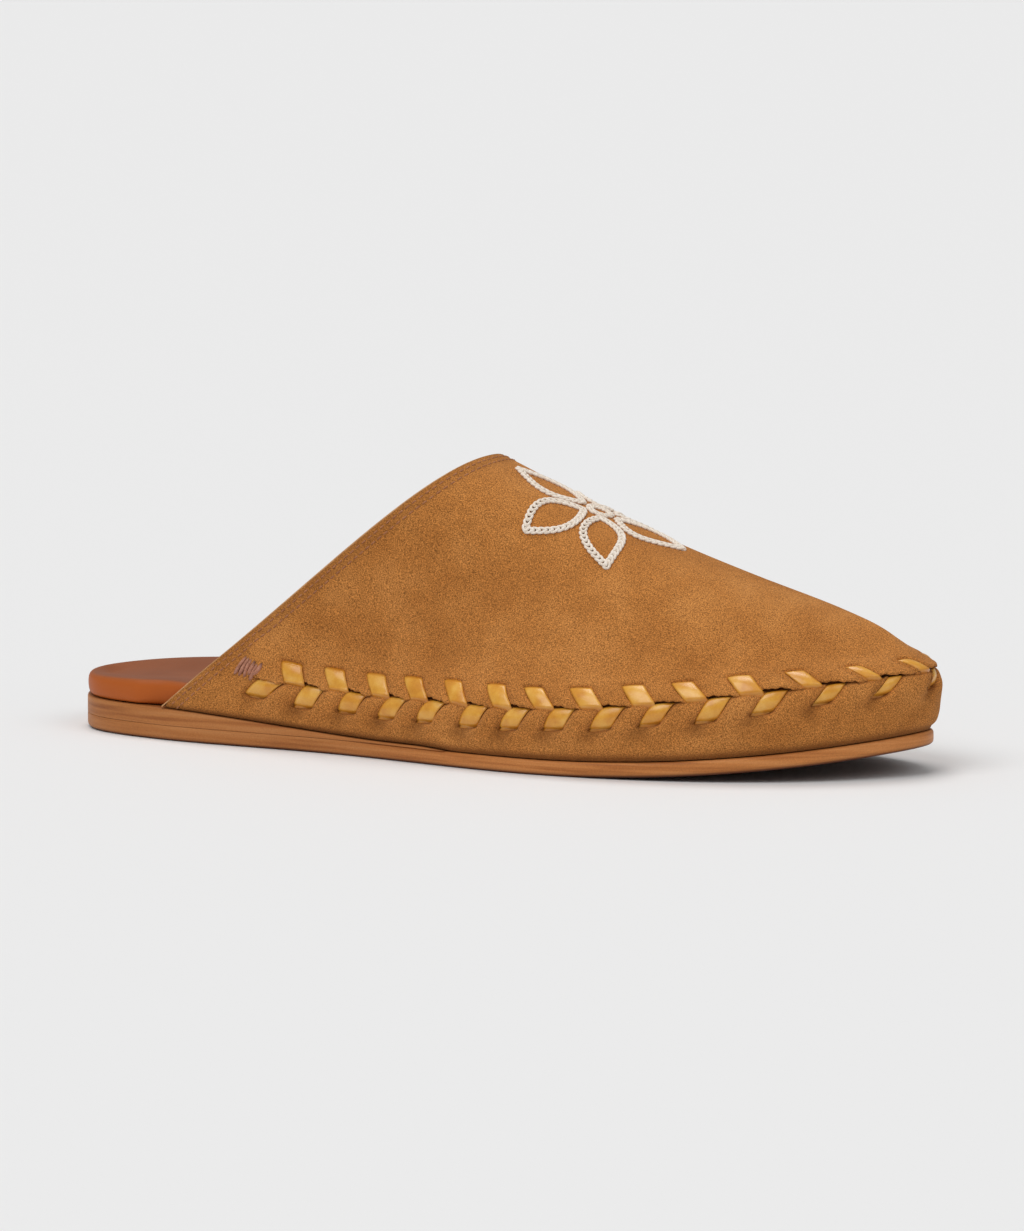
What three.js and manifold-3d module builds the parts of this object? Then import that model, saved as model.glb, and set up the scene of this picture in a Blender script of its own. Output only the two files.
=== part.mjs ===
// A flat suede mule for the right foot, laced round its moccasin seam with a flat leather thong.
// Millimetres, +Z up. X runs from heel to toe, -Y is the outer side of the foot and +Y the inner side.
// The origin is on the floor, under the middle of the shoe's box.
import * as THREE from "three";
import { mergeVertices } from "three/addons/utils/BufferGeometryUtils.js";
import Module from "manifold-3d";

// Driving sizes of the shoe
const SOLE_LENGTH = 256;
const BALL_WIDTH = 87;
const HEEL_HEIGHT = 9.2;
const OUTSOLE_THICKNESS = 4.2;
const TOE_SPRING = 7.8;
const SPRING_START = 160;
const SEAT_GAP = 0.3;
const FLAT_GAP = 0.1;

// Stacked wedge under the heel
const WEDGE_FLAT_END = 25;
const WEDGE_END = 112;
const WEDGE_SKIVED_EDGE = 0.6;

// Footbed
const INSOLE_DISH = 1.6;
const INSOLE_EDGE_ROUND = 1.6;
const INSOLE_HEEL_INSET = 0.2;
const INSOLE_WALL_GAP = 1.2;
const INSOLE_STEP_START = 26;
const INSOLE_STEP_END = 36;

// Upper
const SUEDE_WALL = 2.2;
const WING_START = 37;
const RIDGE_END = 234;
const FAN_START = 0.6;
const CREST_EASE = 0.85;
const SEAM_LEVEL = 0.3;
const SEAM_STEP = 0.5;
const GROOVE_DEPTH = 1;
const GROOVE_HALF_WIDTH = 1.1;

// Thong
const THONG_WIDTH = 6;
const THONG_THICKNESS = 1;
const THONG_CLEARANCE = 0.45;
const THONG_REACH_UP = 5.9;
const THONG_REACH_DOWN = 6.2;
const THONG_CORE_HALF_WIDTH = 0.7;
const THONG_CORE_LOW = -0.65;
const THONG_CORE_HIGH = 1.05;
const LACING_START = 19.6;
const PITCH_AT_WING = 14;
const PITCH_AT_TOE = 17.5;
const PITCH_TOE_REACH = 15;
const PITCH_WING_REACH = 110;

// Plan of the sole, a row for each point from the heel round the outer side, the toe and the inner side.
// along is a share of the sole's length, across a share of the ball's width.
const OUTLINE = [
  { point: "heel back", along: 0, across: 0 },
  { point: "outer heel corner", along: 0.034, across: -0.225 },
  { point: "outer heel", along: 0.13, across: -0.335 },
  { point: "outer waist", along: 0.36, across: -0.381 },
  { point: "outer joint", along: 0.62, across: -0.493 },
  { point: "outer toe root", along: 0.81, across: -0.408 },
  { point: "outer toe corner", along: 0.94, across: -0.2 },
  { point: "toe tip", along: 1, across: 0.07 },
  { point: "inner toe corner", along: 0.965, across: 0.279 },
  { point: "inner toe root", along: 0.865, across: 0.419 },
  { point: "inner joint", along: 0.69, across: 0.488 },
  { point: "inner waist", along: 0.41, across: 0.331 },
  { point: "inner heel", along: 0.13, across: 0.338 },
  { point: "inner heel corner", along: 0.034, across: 0.225 },
];

// Crest of the vamp from the throat's peak to the toe
const RIDGE = [
  { x: 124.5, y: 1, z: 81.7 },
  { x: 160, y: 3, z: 66.4 },
  { x: 200, y: 6, z: 52 },
  { x: RIDGE_END, y: 8, z: 42.4 },
];

// Thickness of the footbed at its rim, which stays high under the arch and thins towards the toe
const FOOTBED = [
  { x: 0, thickness: 5.8 },
  { x: 45, thickness: 7 },
  { x: 100, thickness: 5 },
  { x: 150, thickness: 3.2 },
  { x: SOLE_LENGTH, thickness: 3 },
];

// Sections of the upper from the topline (at 0) to the toe tip (at 1), the same on both sides.
// wall is the height of the side wall, bulge and lean its swell and inward tilt, lay the angle of the vamp
// from upright at the seam, rake its forward slope there, and low and high the fullness of the vamp's curve.
const SECTIONS = [
  { at: 0, wall: 14.4, bulge: 0.4, lean: 1, lay: 12, rake: 1.18, low: 0.425, high: 0.395 },
  { at: 0.12, wall: 12, bulge: 1, lean: 1, lay: 16, rake: 0.95, low: 0.44, high: 0.42 },
  { at: 0.5, wall: 14.5, bulge: 1.8, lean: 1, lay: 32, rake: 0.25, low: 0.42, high: 0.45 },
  { at: 0.8, wall: 17.7, bulge: 2, lean: 0.6, lay: 45, rake: 0, low: 0.4, high: 0.48 },
  { at: 1, wall: 16.9, bulge: 2, lean: 0.4, lay: 57, rake: 0, low: 0.4, high: 0.44 },
];

const OUTER_SIDE = -1;
const INNER_SIDE = 1;
const UP = new THREE.Vector3(0, 0, 1);
const FORWARD = new THREE.Vector3(1, 0, 0);

const mix = (a, b, share) => a + (b - a) * share;
const smooth = (from, to, x) => THREE.MathUtils.smoothstep(x, from, to);
const point = (x, y, z) => new THREE.Vector3(x, y, z);

// Smooth curve through one column of a table, with position given by another column.
function along(rows, position, column, x) {
  const last = rows.length - 1;
  let i = 0;
  while (i < last - 1 && x > rows[i + 1][position]) i++;
  const slope = (k) => {
    const a = rows[Math.max(k - 1, 0)];
    const b = rows[Math.min(k + 1, last)];
    return (b[column] - a[column]) / (b[position] - a[position]);
  };
  const width = rows[i + 1][position] - rows[i][position];
  const t = THREE.MathUtils.clamp((x - rows[i][position]) / width, 0, 1);
  const t2 = t * t;
  const t3 = t2 * t;
  return (
    rows[i][column] * (2 * t3 - 3 * t2 + 1) +
    rows[i + 1][column] * (3 * t2 - 2 * t3) +
    width * (slope(i) * (t3 - 2 * t2 + t) + slope(i + 1) * (t3 - t2))
  );
}

// Plan of the sole

const outlineCurve = new THREE.CatmullRomCurve3(
  OUTLINE.map((row) => point(row.along * SOLE_LENGTH, row.across * BALL_WIDTH, 0)),
  true,
  "centripetal",
);

// Turns of the closed outline at even lengths from the heel back to the toe tip, down one side.
function sideTurns(side) {
  const samples = 800;
  const turns = [];
  const lengths = [];
  let previous = null;
  for (let i = 0; i <= samples; i++) {
    const half = (0.5 * i) / samples;
    const turn = side === OUTER_SIDE ? half : 1 - half;
    const here = outlineCurve.getPoint(turn);
    lengths.push(previous ? lengths[i - 1] + here.distanceTo(previous) : 0);
    turns.push(turn);
    previous = here;
  }
  return { turns, lengths };
}

const TURNS = { [OUTER_SIDE]: sideTurns(OUTER_SIDE), [INNER_SIDE]: sideTurns(INNER_SIDE) };

// Value of a column at a length along another, rising, column.
function lookUp(lengths, values, length) {
  let i = 0;
  while (i < lengths.length - 2 && length > lengths[i + 1]) i++;
  const share = (length - lengths[i]) / (lengths[i + 1] - lengths[i]);
  return mix(values[i], values[i + 1], share);
}

// Point of the sole's edge at a share of the way from heel back to toe tip, with its outward direction.
function soleEdge(side, share) {
  const { turns, lengths } = TURNS[side];
  const turn = lookUp(lengths, turns, share * lengths[lengths.length - 1]);
  const tangent = outlineCurve.getTangent(turn);
  return { at: outlineCurve.getPoint(turn), out: point(tangent.y, -tangent.x, 0).normalize() };
}

// Share of the way down a side at which the sole's edge reaches a length from the heel.
function shareAt(side, x) {
  let low = 0;
  let high = 1;
  for (let i = 0; i < 40; i++) {
    const middle = (low + high) / 2;
    if (soleEdge(side, middle).at.x < x) low = middle;
    else high = middle;
  }
  return low;
}

// Side profile of the sole

function spring(x) {
  const share = Math.max(0, (x - SPRING_START) / (SOLE_LENGTH - SPRING_START));
  return TOE_SPRING * share * share;
}

function soleTop(x) {
  const thin = smooth(WEDGE_FLAT_END, WEDGE_END, x);
  return mix(HEEL_HEIGHT, OUTSOLE_THICKNESS, thin) + spring(x);
}

// Top of the stack that the footbed and the upper stand on: the wedge's skived front edge raises it a little.
function bed(x) {
  const rise = smooth(WEDGE_FLAT_END, WEDGE_END - 10, x) * (1 - smooth(WEDGE_END + 8, WEDGE_END + 24, x));
  return soleTop(x) + (FLAT_GAP + WEDGE_SKIVED_EDGE) * rise;
}

function insoleThickness(x) {
  return along(FOOTBED, "x", "thickness", x);
}

// The footbed is flush with the sole round the heel and steps inside the upper's wings further on.
function insoleInset(x) {
  return mix(INSOLE_HEEL_INSET, SUEDE_WALL + INSOLE_WALL_GAP, smooth(INSOLE_STEP_START, INSOLE_STEP_END, x));
}

// Solids made of rings round the sole

const RING_STEPS = 36;

// Shares from heel back to the end of a ring, closer together at both ends.
function ringShares(end) {
  return Array.from({ length: RING_STEPS + 1 }, (_, i) => {
    const even = i / RING_STEPS;
    const eased = 0.5 - 0.5 * Math.cos(Math.PI * even);
    return end * mix(even, eased, 0.6);
  });
}

// A ring of points: down the outer side to its end, and back up the inner side.
function ring(ends, place) {
  const row = (side) => ringShares(ends[side]).map((share) => place(soleEdge(side, share)));
  const meetAtToe = ends[OUTER_SIDE] === 1;
  const back = row(INNER_SIDE).slice(1, meetAtToe ? -1 : undefined).reverse();
  return [...row(OUTER_SIDE), ...back];
}

// A ring inside another, drawn in towards the middle line of the foot and lowered.
function dished(rim, inward, drop) {
  const endRows = 4;
  const half = rim.length / 2;
  return rim.map((at, i) => {
    const k = THREE.MathUtils.clamp(Math.min(i, rim.length - i), endRows, half - endRows);
    const middle = rim[k].clone().lerp(rim[rim.length - k], 0.5);
    return at.clone().lerp(middle, inward).addScaledVector(UP, -drop);
  });
}

// Closed solid through rings from the underside outwards and up to the top.
function ringSolid(rings) {
  const count = rings[0].length;
  const positions = rings.flat().flatMap((p) => p.toArray());
  const faces = [];
  for (let r = 0; r + 1 < rings.length; r++) {
    for (let i = 0; i < count; i++) {
      const a = r * count + i;
      const b = r * count + ((i + 1) % count);
      faces.push(a, b, b + count, a, b + count, a + count);
    }
  }
  const cap = (first, flip) => {
    const add = (a, b, c) => faces.push(first + a, first + (flip ? c : b), first + (flip ? b : c));
    add(1, count - 1, 0);
    for (let left = 1, right = count - 1; right - left > 1; left++, right--) {
      add(left, left + 1, right);
      if (right - left > 2) add(left + 1, right - 1, right);
    }
  };
  cap(0, true);
  cap((rings.length - 1) * count, false);
  return indexed(positions, faces);
}

function indexed(positions, faces) {
  const geometry = new THREE.BufferGeometry();
  geometry.setAttribute("position", new THREE.Float32BufferAttribute(positions, 3));
  geometry.setIndex(faces);
  return geometry;
}

const WHOLE_SOLE = { [OUTER_SIDE]: 1, [INNER_SIDE]: 1 };

function insetFrom(edge, inset, z) {
  return point(edge.at.x - edge.out.x * inset, edge.at.y - edge.out.y * inset, z);
}

function outsole() {
  const profile = [
    { inset: 0.9, up: 0 },
    { inset: 0.1, up: 0.9 },
    { inset: 0, up: OUTSOLE_THICKNESS - 0.5 },
    { inset: 0.5, up: OUTSOLE_THICKNESS },
  ];
  const rings = profile.map(({ inset, up }) =>
    ring(WHOLE_SOLE, (edge) => insetFrom(edge, inset, spring(edge.at.x) + up)),
  );
  return ringSolid(rings);
}

function heelWedge() {
  const ends = {
    [OUTER_SIDE]: shareAt(OUTER_SIDE, WEDGE_END),
    [INNER_SIDE]: shareAt(INNER_SIDE, WEDGE_END),
  };
  const seat = OUTSOLE_THICKNESS + FLAT_GAP;
  const profile = [
    { inset: 0.3, share: 0 },
    { inset: 0, share: 0.2 },
    { inset: 0, share: 0.85 },
    { inset: 0.3, share: 1 },
  ];
  const rings = profile.map(({ inset, share }) =>
    ring(ends, (edge) => insetFrom(edge, inset, mix(seat, bed(edge.at.x), share))),
  );
  return ringSolid(rings);
}

function insole() {
  const seat = (x) => bed(x) + SEAT_GAP;
  const edgeProfile = [
    { inset: 1, up: 0 },
    { inset: 0.25, up: 0.22 },
    { inset: 0, up: 0.55 },
    { inset: 0.35, up: 0.86 },
    { inset: INSOLE_EDGE_ROUND, up: 1 },
  ];
  const rings = edgeProfile.map(({ inset, up }) =>
    ring(WHOLE_SOLE, (edge) => {
      const x = edge.at.x;
      return insetFrom(edge, insoleInset(x) + inset, seat(x) + up * insoleThickness(x));
    }),
  );
  const dishProfile = [
    { inward: 0.3, depth: 0.45 },
    { inward: 0.62, depth: 0.9 },
    { inward: 0.9, depth: 1 },
  ];
  const rim = rings[rings.length - 1];
  for (const { inward, depth } of dishProfile) rings.push(dished(rim, inward, INSOLE_DISH * depth));
  return ringSolid(rings);
}

// The upper's outer face: lap runs from -1 at the outer topline through 0 at the toe tip to 1 at the inner
// topline, and level from 0 at the sole through SEAM_LEVEL at the moccasin seam to 1 at the crest.

// Point of the vamp's crest, its slope there and the direction square to it.
function crest(x) {
  const step = 0.5;
  const middle = THREE.MathUtils.clamp(x, RIDGE[0].x + step, RIDGE_END - step);
  const height = (at) => along(RIDGE, "x", "z", at);
  const slope = (height(middle + step) - height(middle - step)) / (2 * step);
  return { at: point(x, along(RIDGE, "x", "y", x), height(x)), slope, out: point(-slope, 0, 1).normalize() };
}

const WING_SHARE = {
  [OUTER_SIDE]: shareAt(OUTER_SIDE, WING_START),
  [INNER_SIDE]: shareAt(INNER_SIDE, WING_START),
};

// Foot, seam and crest of one section with the directions in which the vamp leaves the seam and the crest.
function section(lap) {
  const side = lap < 0 ? OUTER_SIDE : INNER_SIDE;
  const q = 1 - Math.abs(lap);
  const size = (column) => along(SECTIONS, "at", column, q);
  const edge = soleEdge(side, mix(WING_SHARE[side], 1, q));
  const foot = edge.at.clone().setZ(bed(edge.at.x) + SEAT_GAP);
  const wall = size("wall");
  const rake = size("rake");
  const seam = foot
    .clone()
    .addScaledVector(UP, wall)
    .addScaledVector(FORWARD, wall * rake)
    .addScaledVector(edge.out, -size("lean"));
  const lay = THREE.MathUtils.degToRad(size("lay"));
  const rise = UP.clone().multiplyScalar(Math.cos(lay));
  rise.addScaledVector(edge.out, -Math.sin(lay)).addScaledVector(FORWARD, rake * Math.cos(lay)).normalize();
  const top = crest(mix(RIDGE[0].x, RIDGE_END, q + CREST_EASE * q * q * (1 - q)));
  const fan = (Math.PI / 2) * smooth(FAN_START, 1, q);
  const spread = point(Math.sin(fan), side * Math.cos(fan), top.slope * Math.sin(fan));
  const span = seam.distanceTo(top.at);
  const lower = seam.clone().addScaledVector(rise, span * size("low"));
  const upper = top.at.clone().addScaledVector(spread, span * size("high"));
  const vamp = new THREE.CubicBezierCurve3(seam, lower, upper, top.at);
  return { foot, seam, top, out: edge.out, bulge: size("bulge"), rake, vamp };
}

function face(lap, level) {
  if (level > 1) return face(-lap, 2 - level);
  const { foot, seam, out, bulge, vamp } = section(lap);
  if (level > SEAM_LEVEL) return vamp.getPoint((level - SEAM_LEVEL) / (1 - SEAM_LEVEL));
  const t = level / SEAM_LEVEL;
  return foot.clone().lerp(seam, t).addScaledVector(out, bulge * 4 * t * (1 - t));
}

// Direction square to the face, and level with the floor along the edge that stands on the sole.
function outward(lap, level) {
  if (level === 0) return section(lap).out;
  if (level === 1) return section(lap).top.out;
  const step = 1e-3;
  const ahead = face(Math.min(lap + step, 1), level).sub(face(Math.max(lap - step, -1), level));
  const low = level > SEAM_LEVEL ? Math.max(level - step, SEAM_LEVEL + 1e-6) : Math.max(level - step, 0);
  const high = level <= SEAM_LEVEL ? Math.min(level + step, SEAM_LEVEL) : level + step;
  const rising = face(lap, high).sub(face(lap, low));
  return ahead.cross(rising).normalize();
}

function lifted(lap, level, lift) {
  return face(lap, level).addScaledVector(outward(lap, level), lift);
}

// Level at a distance above (positive) or below (negative) the seam, measured up the section.
function levelAt(lap, distance) {
  const { foot, seam, vamp } = section(lap);
  if (distance <= 0) return SEAM_LEVEL * (1 + distance / seam.distanceTo(foot));
  return SEAM_LEVEL + (1 - SEAM_LEVEL) * vamp.getUtoTmapping(0, distance);
}

// Upper: one shell with the groove and step of the seam in its outer face

const LAP_STEPS = 44;

// The seam's groove and step fade out towards the topline, where the suede is one piece.
function seamOpen(lap) {
  return mix(0.12, 1, smooth(0.02, 0.09, 1 - Math.abs(lap)));
}

// Lap of a column of the shell: the columns stand closer together round the toe.
function lapOf(column) {
  const even = column / LAP_STEPS - 1;
  return even * (0.7 + 0.3 * even * even);
}

function upper() {
  const flat = () => 0;
  const groove = (lap) => -GROOVE_DEPTH * seamOpen(lap);
  const step = (lap) => SEAM_STEP * seamOpen(lap);
  const below = (lap) => levelAt(lap, -GROOVE_HALF_WIDTH);
  const above = (lap) => levelAt(lap, GROOVE_HALF_WIDTH);
  const wallRows = [0, 0.34, 0.68].map((share) => ({ level: () => SEAM_LEVEL * share, lift: flat }));
  const vampRows = [0.15, 0.3, 0.44, 0.56, 0.66, 0.75, 0.83, 0.91, 1].map((share) => ({
    level: () => mix(SEAM_LEVEL, 1, share),
    lift: (lap) => step(lap) * (1 - smooth(0.15, 0.9, share)),
  }));
  const outerRows = [
    ...wallRows,
    { level: below, lift: flat },
    { level: below, lift: groove },
    { level: above, lift: groove },
    { level: above, lift: step },
    ...vampRows,
  ];
  const innerRows = [0, 0.17, SEAM_LEVEL, 0.44, 0.58, 0.72, 0.86, 1].map((level) => ({
    level: () => level,
    lift: () => -SUEDE_WALL,
  }));
  const columns = 2 * LAP_STEPS + 1;
  const positions = [];
  const faces = [];
  const grid = (rows) => {
    const first = positions.length / 3;
    for (const { level, lift } of rows) {
      for (let i = 0; i < columns; i++) {
        const lap = lapOf(i);
        positions.push(...lifted(lap, level(lap), lift(lap)).toArray());
      }
    }
    return (i, j) => first + j * columns + (j === rows.length - 1 ? Math.min(i, columns - 1 - i) : i);
  };
  const quad = (a, b, c, d) => {
    for (const [p, q, r] of [[a, b, c], [a, c, d]]) if (p !== q && q !== r && p !== r) faces.push(p, q, r);
  };
  const outer = grid(outerRows);
  const inner = grid(innerRows);
  for (let i = 0; i + 1 < columns; i++) {
    for (let j = 0; j + 1 < outerRows.length; j++) {
      quad(outer(i, j), outer(i + 1, j), outer(i + 1, j + 1), outer(i, j + 1));
    }
    for (let j = 0; j + 1 < innerRows.length; j++) {
      quad(inner(i, j), inner(i, j + 1), inner(i + 1, j + 1), inner(i + 1, j));
    }
    quad(outer(i, 0), inner(i, 0), inner(i + 1, 0), outer(i + 1, 0));
  }
  for (const [column, flip] of [[0, false], [columns - 1, true]]) {
    const edge = toplineStrip(outerRows.length, innerRows.length);
    for (const triangle of edge) {
      const [a, b, c] = triangle.map(([row, isOuter]) => (isOuter ? outer : inner)(column, row));
      faces.push(...(flip ? [a, c, b] : [a, b, c]));
    }
  }
  return indexed(positions, faces);
}

// Triangles across the cut edge at the topline, between two columns with different numbers of rows.
function toplineStrip(outerCount, innerCount) {
  const triangles = [];
  let o = 0;
  let n = 0;
  while (o < outerCount - 1 || n < innerCount - 1) {
    const outerNext = (o + 1) / (outerCount - 1);
    const innerNext = (n + 1) / (innerCount - 1);
    if (n === innerCount - 1 || (o < outerCount - 1 && outerNext <= innerNext)) {
      triangles.push([[o, true], [o + 1, true], [n, false]]);
      o++;
    } else {
      triangles.push([[o, true], [n + 1, false], [n, false]]);
      n++;
    }
  }
  return triangles;
}

// Lacing: a core in the seam's groove with a bar for each pass of the thong, joined in one solid

function seamLine() {
  const samples = 600;
  const laps = [];
  const lengths = [];
  let previous = null;
  for (let i = 0; i <= samples; i++) {
    const lap = (2 * i) / samples - 1;
    const here = face(lap, SEAM_LEVEL);
    lengths.push(previous ? lengths[i - 1] + here.distanceTo(previous) : 0);
    laps.push(lap);
    previous = here;
  }
  const total = lengths[samples];
  return { total, lapAt: (length) => lookUp(lengths, laps, THREE.MathUtils.clamp(length, 0, total)) };
}

const seam = seamLine();

function pitchAt(length) {
  const fromToe = Math.abs(length - seam.total / 2);
  return mix(PITCH_AT_TOE, PITCH_AT_WING, smooth(PITCH_TOE_REACH, PITCH_WING_REACH, fromToe));
}

// Lengths along the seam at which a chevron of the thong points forward.
function chevrons() {
  const found = [];
  for (let at = LACING_START; at < seam.total - LACING_START; at += pitchAt(at)) found.push(at);
  return found;
}

// Lap and level of a point at a height above the seam, square to it at a length along it.
// The sections lean forward by their rake, so the point belongs to a section further back.
function besideSeam(length, height) {
  const lap = seam.lapAt(length);
  const { rake } = section(lap);
  const shifted = seam.lapAt(length + Math.sign(lap) * height * rake);
  return { lap: shifted, level: levelAt(shifted, height * Math.hypot(1, rake)) };
}

// A bar from its slit, back along the seam, to the seam: reach is its height above or below the seam.
function bar(tip, slant, reach, lift) {
  const stations = 3;
  const positions = [];
  const faces = [];
  for (let i = 0; i <= stations; i++) {
    const share = i / stations;
    const thickness = THONG_THICKNESS * mix(0.55, 1, Math.sin(Math.PI * Math.min(1, share + 0.25)));
    const corners = [];
    for (const across of [-0.5, 0, 0.5]) {
      const length = tip - slant * (1 - share) + across * THONG_WIDTH;
      const { lap, level } = besideSeam(length, reach * (1 - share));
      corners.push(lifted(lap, level, lift));
      corners.unshift(lifted(lap, level, lift + thickness));
    }
    positions.push(...corners.flatMap((p) => p.toArray()));
  }
  sweep(faces, stations, 6);
  return indexed(positions, reach > 0 ? faces : reversed(faces));
}

// Faces of a tube with a closed section of so many points at each step, and flat ends.
function sweep(faces, steps, count) {
  for (let i = 0; i < steps; i++) {
    for (let k = 0; k < count; k++) {
      const a = count * i + k;
      const b = count * i + ((k + 1) % count);
      faces.push(a, b, b + count, a, b + count, a + count);
    }
  }
  for (let k = 0; k < count / 2 - 1; k++) {
    const [a, b, c, d] = [k, k + 1, count - 2 - k, count - 1 - k];
    const end = count * steps;
    faces.push(a, c, b, a, d, c, end + a, end + b, end + c, end + a, end + c, end + d);
  }
}

function reversed(faces) {
  const turned = [];
  for (let i = 0; i < faces.length; i += 3) turned.push(faces[i], faces[i + 2], faces[i + 1]);
  return turned;
}

// Core of the lacing between its first and last chevron.
function lacingCore(from, to) {
  const steps = 90;
  const positions = [];
  const faces = [];
  const corners = [
    { height: -THONG_CORE_HALF_WIDTH, lift: THONG_CORE_LOW },
    { height: THONG_CORE_HALF_WIDTH, lift: THONG_CORE_LOW },
    { height: THONG_CORE_HALF_WIDTH, lift: THONG_CORE_HIGH },
    { height: -THONG_CORE_HALF_WIDTH, lift: THONG_CORE_HIGH },
  ];
  for (let i = 0; i <= steps; i++) {
    const lap = seam.lapAt(mix(from, to, i / steps));
    for (const { height, lift } of corners) {
      positions.push(...lifted(lap, levelAt(lap, height), lift).toArray());
    }
  }
  sweep(faces, steps, corners.length);
  return indexed(positions, faces);
}

const wasm = await Module();
wasm.setup();

function toSolid(geometry) {
  const merged = mergeVertices(geometry, 1e-4);
  const made = new wasm.Manifold(
    new wasm.Mesh({
      numProp: 3,
      vertProperties: merged.attributes.position.array,
      triVerts: new Uint32Array(merged.index.array),
    }),
  );
  return made;
}

function toGeometry(solid) {
  const mesh = solid.getMesh();
  return indexed(Array.from(mesh.vertProperties), Array.from(mesh.triVerts));
}

// Slant of a bar: the thong lies flatter where its passes are further apart, round the toe.
function slantAt(length) {
  return mix(3.5, 5.5, smooth(PITCH_AT_WING, PITCH_AT_TOE, pitchAt(length)));
}

function lacing() {
  const tips = chevrons();
  let joined = toSolid(lacingCore(tips[0] - THONG_WIDTH / 2, tips[tips.length - 1] + THONG_WIDTH));
  for (const tip of tips) {
    const slant = slantAt(tip);
    const upperBar = bar(tip + pitchAt(tip) / 2, slant, THONG_REACH_UP, SEAM_STEP + THONG_CLEARANCE);
    const lowerBar = bar(tip, slant, -THONG_REACH_DOWN, THONG_CLEARANCE);
    joined = joined.add(toSolid(upperBar)).add(toSolid(lowerBar));
  }
  return toGeometry(joined);
}

// Pieces and their finishes

function piece(name, geometry, color, roughness) {
  geometry.computeVertexNormals();
  const mesh = new THREE.Mesh(geometry, new THREE.MeshStandardMaterial({ color, roughness, metalness: 0 }));
  mesh.name = name;
  return mesh;
}

const mule = new THREE.Group();
mule.name = "mule";
mule.add(
  piece("outsole", outsole(), 0xa9652f, 0.6),
  piece("heel_wedge", heelWedge(), 0xb06c34, 0.6),
  piece("insole", insole(), 0x8a4a28, 0.5),
  piece("upper", upper(), 0xa9723a, 0.95),
  piece("lacing", lacing(), 0xcf9433, 0.4),
);
const middle = new THREE.Box3().setFromObject(mule).getCenter(new THREE.Vector3());
mule.position.set(-middle.x, -middle.y, 0);

export default mule;
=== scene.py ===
"""Dresses the suede mule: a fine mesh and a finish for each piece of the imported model, and its studio."""
import logging
import math
from dataclasses import dataclass, field
from enum import Enum
from typing import Callable, Sequence

import bpy
import numpy as np
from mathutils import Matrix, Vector
from mathutils.bvhtree import BVHTree


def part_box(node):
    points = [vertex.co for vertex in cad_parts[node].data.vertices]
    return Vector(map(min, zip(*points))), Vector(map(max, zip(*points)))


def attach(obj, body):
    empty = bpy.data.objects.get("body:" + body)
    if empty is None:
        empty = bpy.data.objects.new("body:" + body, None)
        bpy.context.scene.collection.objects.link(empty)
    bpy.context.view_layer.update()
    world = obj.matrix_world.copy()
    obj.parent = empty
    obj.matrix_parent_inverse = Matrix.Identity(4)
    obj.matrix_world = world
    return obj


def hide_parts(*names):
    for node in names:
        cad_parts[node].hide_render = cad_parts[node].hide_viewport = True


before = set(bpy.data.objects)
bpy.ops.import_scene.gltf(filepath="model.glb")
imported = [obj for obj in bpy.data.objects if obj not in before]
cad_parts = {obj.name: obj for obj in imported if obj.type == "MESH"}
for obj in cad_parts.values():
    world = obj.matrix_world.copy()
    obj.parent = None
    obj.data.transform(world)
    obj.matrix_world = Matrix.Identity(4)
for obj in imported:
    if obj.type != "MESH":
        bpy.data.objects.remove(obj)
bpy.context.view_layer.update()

MM = 0.001
Array = np.ndarray
Colour = tuple[float, float, float]
log = logging.getLogger("mule")


class Side(Enum):
    """Side of the right foot, with the sign of its Y."""

    OUTER = -1
    INNER = 1


class Row(Enum):
    """Row of lacing bars, above or below the moccasin seam."""

    UPPER = 1
    LOWER = -1


def mix(a: Array, b: Array, share: Array) -> Array:
    """Value at a share of the way from a to b."""
    return a + (b - a) * share


def smooth(start: float, end: float, x: Array) -> Array:
    """Smooth step from 0 at start to 1 at end."""
    t = np.clip((x - start) / (end - start), 0.0, 1.0)
    return t * t * (3.0 - 2.0 * t)


def unit(v: Array) -> Array:
    """Vectors brought to length one."""
    return v / np.maximum(np.linalg.norm(v, axis=-1, keepdims=True), 1e-12)


def run_lengths(points: Array) -> Array:
    """Length along a line of points from its start to each of them."""
    return np.concatenate([[0.0], np.cumsum(np.linalg.norm(np.diff(points, axis=0), axis=1))])


def through(rows: Array, x: Array) -> Array:
    """Smooth curve through the rows of a table whose first column is the position.

    Args:
        rows: table with the position in its first column.
        x: positions to read.

    Returns:
        Every column at each position, as a last axis.
    """
    at = rows[:, 0]
    last = len(at) - 1
    i = np.clip(np.searchsorted(at, x, side="left") - 1, 0, last - 1)
    low = np.maximum(np.arange(last + 1) - 1, 0)
    high = np.minimum(np.arange(last + 1) + 1, last)
    slope = (rows[high] - rows[low]) / (at[high] - at[low])[:, None]
    width = (at[i + 1] - at[i])[..., None]
    t = np.clip((x - at[i]) / (at[i + 1] - at[i]), 0.0, 1.0)[..., None]
    return (
        rows[i] * (2 * t**3 - 3 * t**2 + 1)
        + rows[i + 1] * (3 * t**2 - 2 * t**3)
        + width * (slope[i] * (t**3 - 2 * t**2 + t) + slope[i + 1] * (t**3 - t**2))
    )


UP = np.array([0.0, 0.0, 1.0])
FORWARD = np.array([1.0, 0.0, 0.0])

# Plan of the sole from the heel back round the outer side, the toe and the inner side:
# share of the sole's length, share of the ball's width.
OUTLINE = np.array([
    (0.0, 0.0), (0.034, -0.225), (0.13, -0.335), (0.36, -0.381), (0.62, -0.493),
    (0.81, -0.408), (0.94, -0.2), (1.0, 0.07), (0.965, 0.279), (0.865, 0.419),
    (0.69, 0.488), (0.41, 0.331), (0.13, 0.338), (0.034, 0.225),
])
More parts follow.
